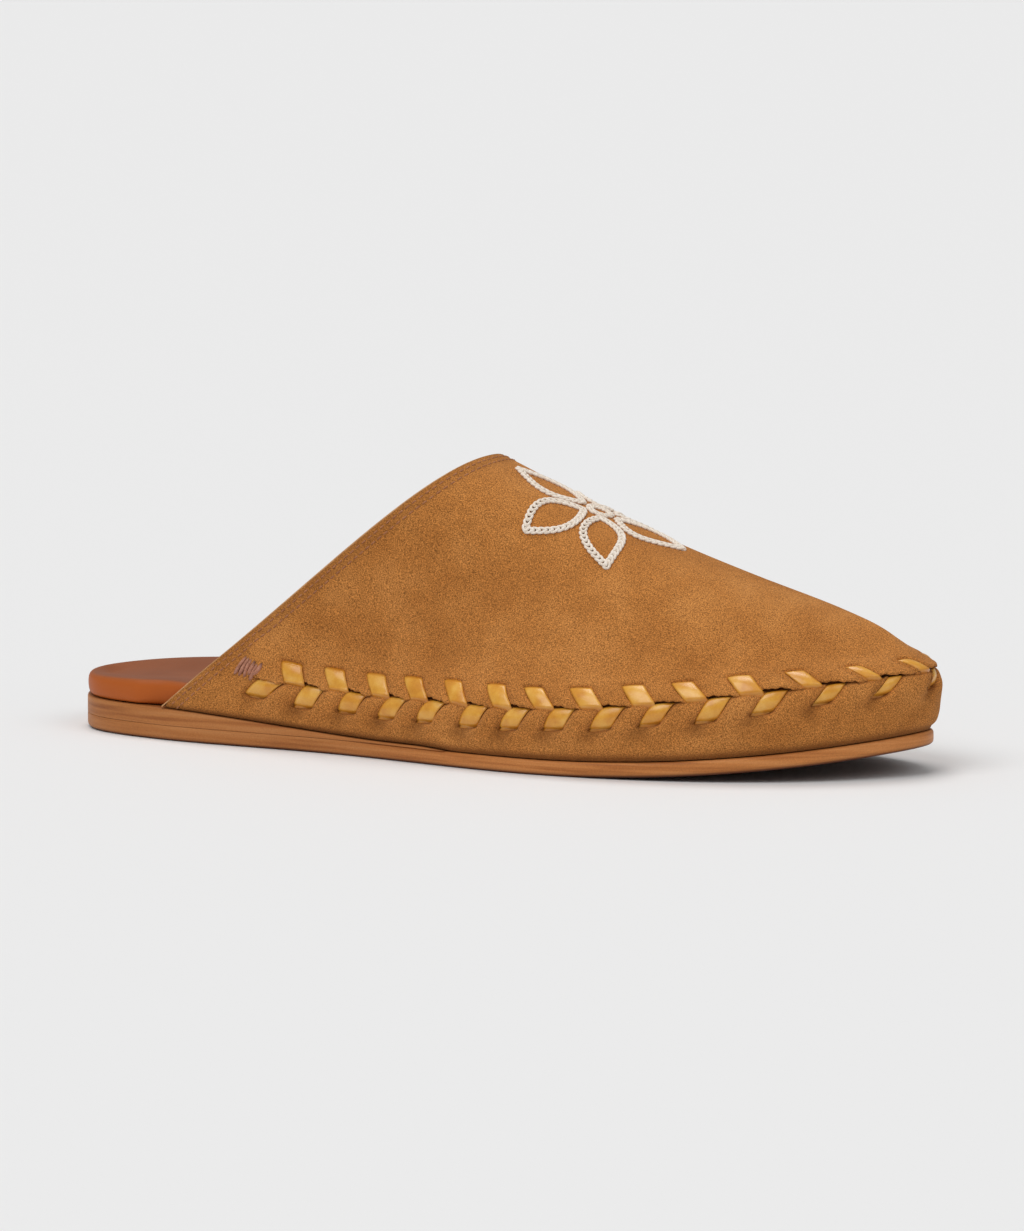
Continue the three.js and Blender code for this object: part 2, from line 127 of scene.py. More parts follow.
# Crest of the vamp: x, y, z.
RIDGE = np.array([(124.5, 1.0, 81.7), (160.0, 3.0, 66.4), (200.0, 6.0, 52.0), (234.0, 8.0, 42.4)])
# Footbed: x, thickness.
FOOTBED = np.array([(0.0, 5.8), (45.0, 7.0), (100.0, 5.0), (150.0, 3.2), (256.0, 3.0)])
# Sections of the upper: at, wall, bulge, lean, lay, rake, low, high.
SECTIONS = np.array([
    (0.0, 14.4, 0.4, 1.0, 12.0, 1.18, 0.425, 0.395),
    (0.12, 12.0, 1.0, 1.0, 16.0, 0.95, 0.44, 0.42),
    (0.5, 14.5, 1.8, 1.0, 32.0, 0.25, 0.42, 0.45),
    (0.8, 17.7, 2.0, 0.6, 45.0, 0.0, 0.4, 0.48),
    (1.0, 16.9, 2.0, 0.4, 57.0, 0.0, 0.4, 0.44),
])


@dataclass(frozen=True)
class LastSizes:
    """Driving sizes of the shoe, in millimetres."""

    sole_length: float = 256.0
    ball_width: float = 87.0
    heel_height: float = 9.2
    outsole_thickness: float = 4.2
    toe_spring: float = 7.8
    spring_start: float = 160.0
    seat_gap: float = 0.3
    flat_gap: float = 0.1
    wedge_flat_end: float = 25.0
    wedge_end: float = 112.0
    wedge_skived_edge: float = 0.6
    skive_lead: float = 10.0
    skive_tail_start: float = 8.0
    skive_tail_end: float = 24.0
    wing_start: float = 37.0
    ridge_end: float = 234.0
    fan_start: float = 0.6
    crest_ease: float = 0.85
    seam_level: float = 0.3
    suede_wall: float = 2.2
    insole_heel_inset: float = 0.2
    insole_wall_gap: float = 1.2
    insole_dish: float = 1.6
    insole_step_start: float = 26.0
    insole_step_end: float = 36.0


@dataclass
class Section:
    """Foot, seam and crest of sections of the upper, with the directions and handles of their curves."""

    foot: Array
    seam: Array
    out: Array
    crown: Array
    bulge: Array
    rake: Array
    handles: tuple[Array, Array, Array, Array]


def bezier(handles: Sequence[Array], t: Array) -> Array:
    """Points of a cubic curve with four handles."""
    a, b, c, d = handles
    return a * (1 - t) ** 3 + 3 * b * t * (1 - t) ** 2 + 3 * c * t * t * (1 - t) + d * t**3


class Form:
    """The shoe's form: its sole plan, side profile and the outer face of its upper, in millimetres.

    A point of the face has a lap, from -1 at the outer topline through 0 at the toe tip to 1 at the inner
    topline, and a level, from 0 at the sole through the moccasin seam to 1 at the crest.
    """

    OUTLINE_STEPS = 801
    SEAM_STEPS = 1601
    SHARE_STEPS = 4001
    CURVE_STEPS = 97
    SLOPE_REACH = 0.5
    STEP = 1e-3
    HAIR = 1e-6
    CROWN_BLEND = (0.93, 0.985)
    CREASE_REACH = 4.0

    def __init__(self, sizes: LastSizes) -> None:
        """Prepares the outline's curve and the tables of lengths along it and along the seam.

        Args:
            sizes: the shoe's driving sizes.
        """
        self.sizes = sizes
        points = OUTLINE * [sizes.sole_length, sizes.ball_width]
        p0, p1, p2, p3 = (np.roll(points, k, 0) for k in (1, 0, -1, -2))
        pairs = ((p0, p1), (p1, p2), (p2, p3))
        d0, d1, d2 = (np.sqrt(np.linalg.norm(b - a, axis=1))[:, None] for a, b in pairs)
        t1 = ((p1 - p0) / d0 - (p2 - p0) / (d0 + d1) + (p2 - p1) / d1) * d1
        t2 = ((p2 - p1) / d1 - (p3 - p1) / (d1 + d2) + (p3 - p2) / d2) * d1
        self.cubic = np.stack([p1, t1, -3 * p1 + 3 * p2 - 2 * t1 - t2, 2 * p1 - 2 * p2 + t1 + t2])
        self.turns: dict[int, tuple[Array, Array]] = {}
        for side in Side:
            half = np.linspace(0.0, 0.5, self.OUTLINE_STEPS)
            turn = half if side is Side.OUTER else 1.0 - half
            lengths = run_lengths(self.outline(turn)[0])
            self.turns[side.value] = (turn, lengths / lengths[-1])
        self.wing = {side.value: self.share_at(side.value, sizes.wing_start) for side in Side}
        self.seam_laps = np.linspace(-1.0, 1.0, self.SEAM_STEPS)
        seam = self.face(self.seam_laps, np.full(self.SEAM_STEPS, sizes.seam_level))
        self.seam_lengths = run_lengths(seam)
        self.seam_total = float(self.seam_lengths[-1])

    def outline(self, turn: Array) -> tuple[Array, Array]:
        """Point and tangent of the closed outline.

        Args:
            turn: share of the way round, from the heel back by the outer side.

        Returns:
            Points and tangents in plan.
        """
        count = self.cubic.shape[1]
        u = np.asarray(turn) * count
        i = np.floor(u).astype(int)
        w = (u - i)[..., None]
        c = self.cubic[:, i % count]
        return c[0] + c[1] * w + c[2] * w * w + c[3] * w**3, c[1] + 2 * c[2] * w + 3 * c[3] * w * w

    def edge(self, side: int, share: Array) -> tuple[Array, Array]:
        """Point and outward direction of the sole's edge on one side.

        Args:
            side: sign of the side's Y.
            share: share of the way from the heel back to the toe tip.

        Returns:
            Points and outward directions in plan.
        """
        turn, lengths = self.turns[side]
        at, tangent = self.outline(np.interp(share, lengths, turn))
        return at, unit(np.stack([tangent[..., 1], -tangent[..., 0]], -1))

    def share_at(self, side: int, x: float) -> float:
        """Share of the way down a side at which the edge reaches a length from the heel.

        Args:
            side: sign of the side's Y.
            x: length from the heel back.

        Returns:
            The share.
        """
        shares = np.linspace(0.0, 1.0, self.SHARE_STEPS)
        reach = self.edge(side, shares)[0][:, 0]
        end = int(np.argmax(reach)) + 1
        return float(np.interp(x, reach[:end], shares[:end]))

    def spring(self, x: Array) -> Array:
        """Height of the outsole's underside above the floor."""
        s = self.sizes
        return s.toe_spring * np.maximum(0.0, (x - s.spring_start) / (s.sole_length - s.spring_start)) ** 2

    def sole_top(self, x: Array) -> Array:
        """Height of the stack under the footbed, without the wedge's skived edge.

        Args:
            x: lengths from the heel back.

        Returns:
            Heights above the floor.
        """
        s = self.sizes
        thin = smooth(s.wedge_flat_end, s.wedge_end, x)
        return mix(s.heel_height, s.outsole_thickness, thin) + self.spring(x)

    def bed(self, x: Array) -> Array:
        """Height of the stack that the footbed and the upper stand on.

        Args:
            x: lengths from the heel back.

        Returns:
            Heights above the floor.
        """
        s = self.sizes
        rise = smooth(s.wedge_flat_end, s.wedge_end - s.skive_lead, x)
        fall = smooth(s.wedge_end + s.skive_tail_start, s.wedge_end + s.skive_tail_end, x)
        return self.sole_top(x) + (s.flat_gap + s.wedge_skived_edge) * (rise * (1 - fall))

    def section(self, lap: Array) -> Section:
        """Sections of the upper.

        Args:
            lap: lap of each section.

        Returns:
            The sections.
        """
        s = self.sizes
        side = np.where(lap < 0, -1, 1)
        q = 1.0 - np.abs(lap)
        sizes = np.moveaxis(through(SECTIONS, q), -1, 0)[1:, ..., None]
        wall, bulge, lean, lay, rake, low, high = sizes
        at = np.zeros(lap.shape + (3,))
        out = np.zeros(lap.shape + (3,))
        for value, wing in self.wing.items():
            here = side == value
            at[here, :2], out[here, :2] = self.edge(value, mix(wing, 1.0, q[here]))
        at[..., 2] = self.bed(at[..., 0]) + s.seat_gap
        seam = at + UP * wall + FORWARD * wall * rake - out * lean
        lay = np.radians(lay)
        rise = unit(UP * np.cos(lay) - out * np.sin(lay) + FORWARD * rake * np.cos(lay))
        x = mix(RIDGE[0, 0], s.ridge_end, q + s.crest_ease * q * q * (1 - q))
        top = through(RIDGE, x)
        near = self.SLOPE_REACH
        middle = np.clip(x, RIDGE[0, 0] + near, s.ridge_end - near)
        slope = through(RIDGE, middle + near)[..., 2] - through(RIDGE, middle - near)[..., 2]
        fan = 0.5 * np.pi * smooth(s.fan_start, 1.0, q)
        spread = np.stack([np.sin(fan), side * np.cos(fan), slope * np.sin(fan)], -1)
        span = np.linalg.norm(seam - top, axis=-1, keepdims=True)
        crown = unit(np.stack([-slope, np.zeros_like(slope), np.ones_like(slope)], -1))
        handles = (seam, seam + rise * span * low, top + spread * span * high, top)
        return Section(at, seam, out, crown, bulge, rake[..., 0], handles)

    def face(self, lap: Array, level: Array) -> Array:
        """Points of the upper's outer face.

        Args:
            lap: laps of the points.
            level: levels of the points; above 1 they lie over the crest on the other side.

        Returns:
            The points.
        """
        lap, level = np.broadcast_arrays(np.asarray(lap, float), np.asarray(level, float))
        over = level > 1
        lap, level = np.where(over, -lap, lap), np.where(over, 2 - level, level)
        cut = self.section(lap)
        split = self.sizes.seam_level
        vamp = bezier(cut.handles, np.clip((level - split) / (1 - split), 0, 1)[..., None])
        w = np.clip(level / split, 0, 1)[..., None]
        wall = mix(cut.foot, cut.seam, w) + cut.out * cut.bulge * 4 * w * (1 - w)
        return np.where((level > split)[..., None], vamp, wall)

    def square(self, lap: Array, level: Array) -> Array:
        """Directions square to the face, blended into the crest's own direction.

        Args:
            lap: laps of the points.
            level: levels of the points.

        Returns:
            Unit directions off the face.
        """
        lap, level = np.broadcast_arrays(np.asarray(lap, float), np.asarray(level, float))
        step, split = self.STEP, self.sizes.seam_level
        ahead = self.face(np.minimum(lap + step, 1), level) - self.face(np.maximum(lap - step, -1), level)
        floor = np.where(level > split, split + self.HAIR, 0)
        low = np.maximum(level - step, floor)
        high = np.where(level <= split, np.minimum(level + step, split), level + step)
        normal = unit(np.cross(ahead, self.face(lap, high) - self.face(lap, low)))
        cut = self.section(lap)
        normal = np.where((level <= 0)[..., None], cut.out, normal)
        return unit(mix(normal, cut.crown, smooth(*self.CROWN_BLEND, level)[..., None]))

    def levels(self, lap: Array, distance: Array) -> Array:
        """Levels at distances above or below the seam, measured up each section.

        Args:
            lap: laps of the columns.
            distance: distances with rows first and one column for each lap.

        Returns:
            Levels in the shape of the distances.
        """
        cut = self.section(lap)
        t = np.linspace(0.0, 1.0, self.CURVE_STEPS)
        curve = bezier([h[:, None, :] for h in cut.handles], t[None, :, None])
        run = np.linalg.norm(np.diff(curve, axis=1), axis=-1)
        arcs = np.concatenate([np.zeros((len(lap), 1)), np.cumsum(run, 1)], 1)
        share = np.stack([np.interp(distance[:, i], arcs[i], t) for i in range(len(lap))], 1)
        wall = np.linalg.norm(cut.seam - cut.foot, axis=-1)
        split = self.sizes.seam_level
        return np.where(distance > 0, mix(split, 1.0, share), np.maximum(split * (1 + distance / wall), 0.0))

    def spans(self, lap: Array) -> tuple[Array, Array]:
        """Lengths up each section.

        Args:
            lap: laps of the sections.

        Returns:
            Lengths of the walls and of the vamp curves.
        """
        cut = self.section(lap)
        t = np.linspace(0.0, 1.0, self.CURVE_STEPS)
        curve = bezier([h[:, None, :] for h in cut.handles], t[None, :, None])
        vamp = np.linalg.norm(np.diff(curve, axis=1), axis=-1).sum(1)
        return np.linalg.norm(cut.seam - cut.foot, axis=-1), vamp

    def lap_at(self, length: Array) -> Array:
        """Lap at a length along the seam from the outer topline."""
        return np.interp(length, self.seam_lengths, self.seam_laps)

    def length_at(self, lap: Array) -> Array:
        """Length along the seam at a lap."""
        return np.interp(lap, self.seam_laps, self.seam_lengths)

    def lifted(self, lap: Array, distance: Array, lift: Array) -> Array:
        """Points at distances up each section from the seam, raised off the face.

        Args:
            lap: laps of the columns.
            distance: distances from the seam, rows by columns.
            lift: heights off the face, rows by columns.

        Returns:
            Points, rows by columns by three.
        """
        level = self.levels(lap, distance)
        laps = np.broadcast_to(lap, level.shape)
        normal = self.square(laps, level)
        split = self.sizes.seam_level
        below = self.square(lap, np.full(lap.shape, split))
        above = self.square(lap, np.full(lap.shape, split + 2 * self.STEP))
        crease = unit(below + above)
        ease = (1 - smooth(0.0, self.CREASE_REACH, np.abs(distance)))[..., None]
        normal = unit(mix(normal, np.broadcast_to(crease, normal.shape), ease))
        return self.face(laps, level) + normal * lift[..., None]

    def beside_seam(self, length: Array, height: Array, lift: Array) -> Array:
        """Points square to the seam.

        Args:
            length: lengths along the seam from the outer topline.
            height: heights above the seam, or below it where negative.
            lift: heights off the face.

        Returns:
            The points.
        """
        lap = self.lap_at(length)
        rake = self.section(lap).rake
        shifted = self.lap_at(length + np.sign(lap) * height * rake)
        reach = height * np.hypot(1.0, rake)
        return self.lifted(shifted, reach[None, :], lift[None, :])[0]


@dataclass
class BarSet:
    """Bars of the thong in one row: where each meets the seam, its lean, half width, reach and suede lips."""

    row: Row
    tips: Array
    slants: Array
    halves: Array
    reaches: Array
    lips: Array

    LEAN_RANGE = (-0.3, 1.4)

    @staticmethod
    def column(values: Array, points: Array) -> Array:
        """A value for each bar, set to spread over an array of points."""
        return values.reshape((-1,) + (1,) * np.ndim(points))

    def across(self, length: Array, height: Array) -> Array:
        """Place of points across each bar.

        Args:
            length: lengths of the points along the seam.
            height: heights of the points above it.

        Returns:
            Places for each bar and point: -1 and 1 are the bar's two edges.
        """
        share = np.clip(height * self.row.value / self.column(self.reaches, length), *self.LEAN_RANGE)
        middle = self.column(self.tips, length) - self.column(self.slants, length) * share
        return (length - middle) / self.column(self.halves, length)


@dataclass
class LacingPlan:
    """Spacing of the thong's bars along the seam, in millimetres."""

    form: Form
    start: float = 19.6
    pitch_at_wing: float = 14.0
    pitch_at_toe: float = 17.5
    pitch_toe_reach: float = 15.0
    pitch_wing_reach: float = 110.0
    width_up: float = 6.5
    width_down: float = 6.5
    reach_up: float = 5.9
    reach_down: float = 6.3
    slant_up: float = 4.5
    slant_down: float = 4.2
    toe_slant: float = 5.6
    toe_width: float = 0.68
    toe_reach: float = 0.78
    toe_ease: float = 58.0
    wing_reach_up: float = 0.74
    wing_slant_up: float = 0.3
    wing_ease: float = 80.0
    first_slant: float = 2.4
    first_reach: float = 0.9
    first_width: float = 1.15
    toe_start: float = 6.0
    side_lip: float = 0.1
    most_lip: float = 1.1
    uneven_size: float = 0.05
    uneven_lip: float = 0.15
    uneven_slant: float = 0.45
    uneven_place: float = 0.5
    seed: int = 11
    upper: BarSet = field(init=False)
    lower: BarSet = field(init=False)

    def __post_init__(self) -> None:
        """Lays out both rows of bars, with a small seeded unevenness."""
        tips = [self.start]
        while tips[-1] + self.pitch(tips[-1]) < self.form.seam_total - self.start:
            tips.append(tips[-1] + self.pitch(tips[-1]))
        at = np.array(tips)
        pitch = np.array([self.pitch(t) for t in tips])
        uneven = np.random.default_rng(self.seed).uniform(-1.0, 1.0, (8, len(tips)))
        self.upper = self.bars(Row.UPPER, at + 0.5 * pitch, uneven[:4])
        self.lower = self.bars(Row.LOWER, at, uneven[4:])

    def bars(self, row: Row, tips: Array, uneven: Array) -> BarSet:
        """One row of bars: narrower, shorter and deeper between suede lips round the toe.

        Args:
            row: which row.
            tips: where the bars meet the seam.
            uneven: seeded unevenness of place and lips, slant, width and reach, from -1 to 1.

        Returns:
            The bars.
        """
        upper = row is Row.UPPER
        up = (self.width_up, self.reach_up, self.slant_up)
        down = (self.width_down, self.reach_down, self.slant_down)
        width, reach, slant = up if upper else down
        away = smooth(self.toe_start, self.toe_ease, np.abs(tips - 0.5 * self.form.seam_total))
        half = 0.5 * width * mix(self.toe_width, 1.0, away) * (1 + self.uneven_size * uneven[2])
        reaches = reach * mix(self.toe_reach, 1.0, away) * (1 + self.uneven_size * uneven[3])
        lips = np.clip(mix(1.0, self.side_lip, away) + self.uneven_lip * uneven[0], 0.0, self.most_lip)
        slants = mix(self.toe_slant, slant, away) + self.uneven_slant * uneven[1]
        if upper:
            in_wing = np.minimum(tips, self.form.seam_total - tips)
            along = smooth(self.start, self.wing_ease, in_wing)
            reaches = reaches * mix(self.wing_reach_up, 1.0, along)
            slants = slants * mix(self.wing_slant_up, 1.0, along)
        else:
            slants[0] += self.first_slant
            reaches[0] *= self.first_reach
            half[0] *= self.first_width
        return BarSet(row, tips + self.uneven_place * uneven[0], slants, half, reaches, lips)

    def pitch(self, length: float) -> float:
        """Distance from one bar to the next in its row.

        Args:
            length: length along the seam.

        Returns:
            The pitch there.
        """
        away = abs(length - 0.5 * self.form.seam_total)
        wing = smooth(self.pitch_toe_reach, self.pitch_wing_reach, away)
        return float(mix(self.pitch_at_toe, self.pitch_at_wing, wing))


@dataclass
class SeamRelief:
    """How the suede swells and sinks beside the laced seam, in millimetres off the plain face."""

    plan: LacingPlan
    vamp_step: float = 0.95
    puff_up: float = 0.55
    puff_down: float = 1.15
    sink: float = 0.5
    slit_up: float = 0.3
    slit_down: float = 1.0
    dimple_up: float = 0.15
    dimple_down: float = 1.8
    lip: float = 0.45
    wander: float = 0.18
    flap_high: float = 0.0
    flap_low: float = -1.2
    flap_half: float = 0.95
    flap_fall: float = 0.36
    last_flap: float = 8.0
    edge_waves: tuple[tuple[float, float, float], ...] = (
        (0.12, 1.31, 0.7), (0.1, 2.77, 0.0), (0.12, 0.47, 0.0),
    )
    opening_run: tuple[float, float] = (7.5, 13.5)
    step_fade: tuple[float, float] = (0.5, 13.0)
    puff_fade: tuple[float, float] = (2.0, 10.0)
    wander_fade: tuple[float, float] = (6.0, 13.0)
    swell_rise: tuple[float, float] = (-0.3, 2.4)
    swell_fade: tuple[float, float] = (4.0, 11.0)
    wall_wander: float = 1.4
    wall_shift: float = 40.0
    wall_lip: float = 0.8
    cover_half: float = 1.12
    cover_start: tuple[float, float] = (-2.5, -1.0)
    cover_end: tuple[float, float] = (-0.3, 0.6)
    slit_half: float = 1.02
    slit_width: float = 0.5
    dimple_beyond: float = 0.9
    dimple_reach: float = 3.0
    dimple_side: float = 0.4
    dimple_half: float = 1.2
    lip_side: float = 1.22
    lip_half: float = 0.24
    crease_side: float = 1.72
    crease_half: float = 0.17
    crease_depth: float = 1.9

    def opening(self, length: Array) -> Array:
        """How far the seam is open, from 0 at the wing's end to 1 along the lacing."""
        near = np.minimum(length, self.plan.form.seam_total - length)
        return smooth(*self.opening_run, near)

    def under_bars(self, bars: BarSet, length: Array, height: Array) -> tuple[Array, Array, Array, Array]:
        """How a row of bars presses on the suede.

        Args:
            bars: the row of bars.
            length: lengths of points along the seam.
            height: heights of the points above it.

        Returns:
            How much the points lie under a bar, in its slit, in the dimple beyond the slit and on the lip
            beside it.
        """
        reach = height * bars.row.value
        beyond = reach - bars.column(bars.reaches, length)
        a = bars.across(length, height)
        covered = 1.0 / (1.0 + (np.abs(a) / self.cover_half) ** 8)
        span = smooth(*self.cover_start, reach) * (1 - smooth(*self.cover_end, beyond))
        slit = np.exp(-((beyond / self.slit_width) ** 2)) / (1.0 + (np.abs(a) / self.slit_half) ** 12)
        past = ((beyond - self.dimple_beyond) / self.dimple_reach) ** 2
        dimple = np.exp(-past - ((a + self.dimple_side) / self.dimple_half) ** 2)
        ridge = np.exp(-(((a + self.lip_side) / self.lip_half) ** 2))
        crease = np.exp(-(((a + self.crease_side) / self.crease_half) ** 2))
        lip = (ridge - self.crease_depth * crease) * span * bars.column(bars.lips, length)
        return (covered * span).sum(0), slit.sum(0), dimple.sum(0), lip.sum(0)

    def unevenness(self, length: Array, height: Array) -> Array:
        """Slow unevenness of the skin: one long wave and one short one.

        Args:
            length: lengths of points along the seam.
            height: heights of the points above it.

        Returns:
            Unevenness between -1 and 1.
        """
        slow = np.sin(0.21 * length + 0.9 * np.sin(0.13 * height)) * np.cos(0.27 * height + 0.05 * length)
        quick = np.sin(0.62 * length + 0.5 * height + 1.3) * np.cos(0.44 * height - 0.37 * length)
        return 0.6 * slow + 0.4 * quick

    def vamp(self, length: Array, height: Array) -> Array:
        """Lift of the vamp above the seam.

        Args:
            length: lengths of points along the seam.
            height: heights of the points above it.

        Returns:
            Lifts off the plain face.
        """
        press, slit, dimple, lip = self.under_bars(self.plan.upper, length, height)
        edge = self.vamp_step * (1 - smooth(*self.step_fade, height))
        puff = self.puff_up * (1 - np.minimum(press, 1)) * (1 - smooth(*self.puff_fade, height))
        dents = self.sink * press + self.slit_up * slit + self.dimple_up * dimple
        wander = self.wander * self.unevenness(length, height) * (1 - smooth(*self.wander_fade, height))
        return self.opening(length) * (edge + puff - dents + self.lip * lip + wander)

    def wall(self, length: Array, height: Array) -> Array:
        """Lift of the side wall below the seam.

        Args:
            length: lengths of points along the seam.
            height: heights of the points above it, which are negative.

        Returns:
            Lifts off the plain face.
        """
        press, slit, dimple, lip = self.under_bars(self.plan.lower, length, height)
        swell = smooth(*self.swell_rise, -height) * (1 - smooth(*self.swell_fade, -height))
        puff = self.puff_down * (1 - np.minimum(press, 1)) * swell
        dents = self.sink * press + self.slit_down * slit + self.dimple_down * dimple
        wander = self.wall_wander * self.wander * self.unevenness(length + self.wall_shift, height)
        return self.opening(length) * (puff - dents + self.wall_lip * self.lip * lip + wander)

    def edge_height(self, length: Array) -> Array:
        """Height of the vamp's raw edge: each flap between two bars slopes down to the next bar.

        Args:
            length: lengths along the seam.

        Returns:
            Heights of the edge above the seam.
        """
        bars = self.plan.upper
        left = bars.tips - self.flap_half * bars.halves
        right = bars.tips + self.flap_half * bars.halves
        following = np.append(left[1:], right[-1] + self.last_flap)
        places = np.stack([left, right, mix(right, following, 0.5)], 1).ravel()
        sloping = mix(self.flap_high, self.flap_low, self.flap_fall)
        heights = np.tile([self.flap_low, self.flap_high, sloping], len(bars.tips))
        wander = sum(size * np.sin(length * waves + phase) for size, waves, phase in self.edge_waves)
        return np.interp(length, places, heights) + wander


@dataclass(frozen=True)
class LeatherFinish:
    """A leather, suede or thread finish: tones that wander in patches, a grain and a gloss.

    Scales are in waves a metre; the shade attribute mixes a piece's colour toward its shade tone, mostly
    painted shade.
    """

    MIX_A = 6
    MIX_B = 7
    MIX_RESULT = 2

    name: str
    tones: tuple[Colour, Colour, Colour]
    shade_tone: Colour
    patch_scale: float = 70.0
    patch_stretch: tuple[float, float, float] = (1.0, 1.0, 1.0)
    patch_detail: float = 4.0
    patch_spread: float = 0.22
    grain_scale: float = 1100.0
    grain_detail: float = 3.0
    grain_contrast: float = 0.2
    grain_tone: float = 0.3
    grain_depth: float = 0.00025
    grain_strength: float = 0.5
    fine_scale: float = 2.6
    fine_detail: float = 2.0
    fine_depth: float = 0.5
    roughness: tuple[float, float] = (0.4, 0.55)
    sheen: float = 0.0
    sheen_tint: Colour = (1.0, 1.0, 1.0)
    sheen_roughness: float = 0.45
    coat: float = 0.0
    coat_roughness: float = 0.25
    specular: float = 0.5

    def material(self) -> bpy.types.Material:
        """Builds the node material.

        Returns:
            The finished material.
        """
        made = bpy.data.materials.new(self.name)
        made.use_nodes = True
        tree = made.node_tree
        shader = tree.nodes["Principled BSDF"]
        coords = tree.nodes.new("ShaderNodeTexCoord")
        stretch = tree.nodes.new("ShaderNodeMapping")
        stretch.inputs["Scale"].default_value = self.patch_stretch
        tree.links.new(coords.outputs["Object"], stretch.inputs["Vector"])
        patch = self.noise(tree, stretch.outputs["Vector"], self.patch_scale, self.patch_detail)
        grain = self.noise(tree, coords.outputs["Object"], self.grain_scale, self.grain_detail)
        fine_scale = self.grain_scale * self.fine_scale
        fine = self.noise(tree, coords.outputs["Object"], fine_scale, self.fine_detail)
        ramp = tree.nodes.new("ShaderNodeValToRGB")
        ramp.color_ramp.elements.new(0.5)
        for element, place, tone in zip(ramp.color_ramp.elements, (-1, 0, 1), self.tones):
            element.position = 0.5 + place * self.patch_spread
            element.color = (*tone, 1.0)
        tree.links.new(patch.outputs["Fac"], ramp.inputs["Fac"])
        fleck = tree.nodes.new("ShaderNodeMapRange")
        fleck.inputs["From Min"].default_value = 0.5 - self.grain_contrast
        fleck.inputs["From Max"].default_value = 0.5 + self.grain_contrast
        tree.links.new(grain.outputs["Fac"], fleck.inputs["Value"])
        speckle = self.blend(tree, "OVERLAY", ramp.outputs["Color"], fleck.outputs["Result"])
        speckle.inputs["Factor"].default_value = self.grain_tone
        # Painted shade: the shade attribute mixes the colour toward the shade tone.
        shade_mix = self.blend(tree, "MIX", speckle.outputs[self.MIX_RESULT], None)
        shade_mix.inputs[self.MIX_B].default_value = (*self.shade_tone, 1.0)
        shade = tree.nodes.new("ShaderNodeAttribute")
        shade.attribute_name = "shade"
        tree.links.new(shade.outputs["Fac"], shade_mix.inputs["Factor"])
        tree.links.new(shade_mix.outputs[self.MIX_RESULT], shader.inputs["Base Color"])
        gloss = tree.nodes.new("ShaderNodeMapRange")
        gloss.inputs["To Min"].default_value, gloss.inputs["To Max"].default_value = self.roughness
        tree.links.new(grain.outputs["Fac"], gloss.inputs["Value"])
        tree.links.new(gloss.outputs["Result"], shader.inputs["Roughness"])
        coarse_bump = self.bump(tree, grain.outputs["Fac"], self.grain_depth)
        fine_bump = self.bump(tree, fine.outputs["Fac"], self.grain_depth * self.fine_depth)
        tree.links.new(coarse_bump.outputs["Normal"], fine_bump.inputs["Normal"])
        tree.links.new(fine_bump.outputs["Normal"], shader.inputs["Normal"])
        shader.inputs["Sheen Weight"].default_value = self.sheen
        shader.inputs["Sheen Roughness"].default_value = self.sheen_roughness
        shader.inputs["Sheen Tint"].default_value = (*self.sheen_tint, 1.0)
        shader.inputs["Coat Weight"].default_value = self.coat
        shader.inputs["Coat Roughness"].default_value = self.coat_roughness
        shader.inputs["Specular IOR Level"].default_value = self.specular
        return made

    @staticmethod
    def noise(tree: bpy.types.NodeTree, vector: bpy.types.NodeSocket, scale: float,
              detail: float) -> bpy.types.Node:
        """Adds a noise.

        Args:
            tree: the material's nodes.
            vector: the coordinates that it is laid over.
            scale: waves a metre.
            detail: number of finer layers.

        Returns:
            The noise node.
        """
        made = tree.nodes.new("ShaderNodeTexNoise")
        made.inputs["Scale"].default_value = scale
        made.inputs["Detail"].default_value = detail
        tree.links.new(vector, made.inputs["Vector"])
        return made

    @classmethod
    def blend(cls, tree: bpy.types.NodeTree, kind: str, a: bpy.types.NodeSocket,
              b: bpy.types.NodeSocket | None) -> bpy.types.Node:
        """Adds a colour mix.

        Args:
            tree: the material's nodes.
            kind: how the colours are mixed.
            a: the first colour.
            b: the second colour, or None where it is set on the node.

        Returns:
            The mix node.
        """
        made = tree.nodes.new("ShaderNodeMix")
        made.data_type = "RGBA"
        made.blend_type = kind
        tree.links.new(a, made.inputs[cls.MIX_A])
        if b is not None:
            tree.links.new(b, made.inputs[cls.MIX_B])
        return made

    def bump(self, tree: bpy.types.NodeTree, height: bpy.types.NodeSocket, depth: float) -> bpy.types.Node:
        """Adds a bump.

        Args:
            tree: the material's nodes.
            height: the height that it follows.
            depth: its depth in metres.

        Returns:
            The bump node.
        """
        made = tree.nodes.new("ShaderNodeBump")
        made.inputs["Strength"].default_value = self.grain_strength
        made.inputs["Distance"].default_value = depth
        tree.links.new(height, made.inputs["Height"])
        return made


SUEDE = LeatherFinish(
    "tan_suede", ((0.41, 0.153, 0.034), (0.475, 0.186, 0.044), (0.54, 0.223, 0.058)), (0.18, 0.064, 0.015),
    patch_scale=75.0, patch_detail=6.0, grain_scale=3300.0, grain_contrast=0.2, grain_tone=0.66,
    grain_depth=0.0003, grain_strength=0.6,
    roughness=(0.85, 1.0), sheen=0.18, sheen_tint=(1.0, 0.62, 0.32), specular=0.1,
)
CUT_EDGE = LeatherFinish(
    "suede_cut_edge", ((0.46, 0.22, 0.085), (0.56, 0.29, 0.125), (0.64, 0.36, 0.17)), (0.2, 0.08, 0.022),
    patch_scale=260.0, grain_scale=2600.0, grain_tone=0.3, roughness=(0.8, 0.95), specular=0.15,
)
LINING = LeatherFinish(
    "lining_leather", ((0.35, 0.135, 0.045), (0.42, 0.17, 0.06), (0.48, 0.21, 0.08)), (0.16, 0.06, 0.02),
    patch_scale=40.0, grain_scale=1500.0, grain_tone=0.15, grain_depth=0.0001,
    roughness=(0.5, 0.62), specular=0.3,
)
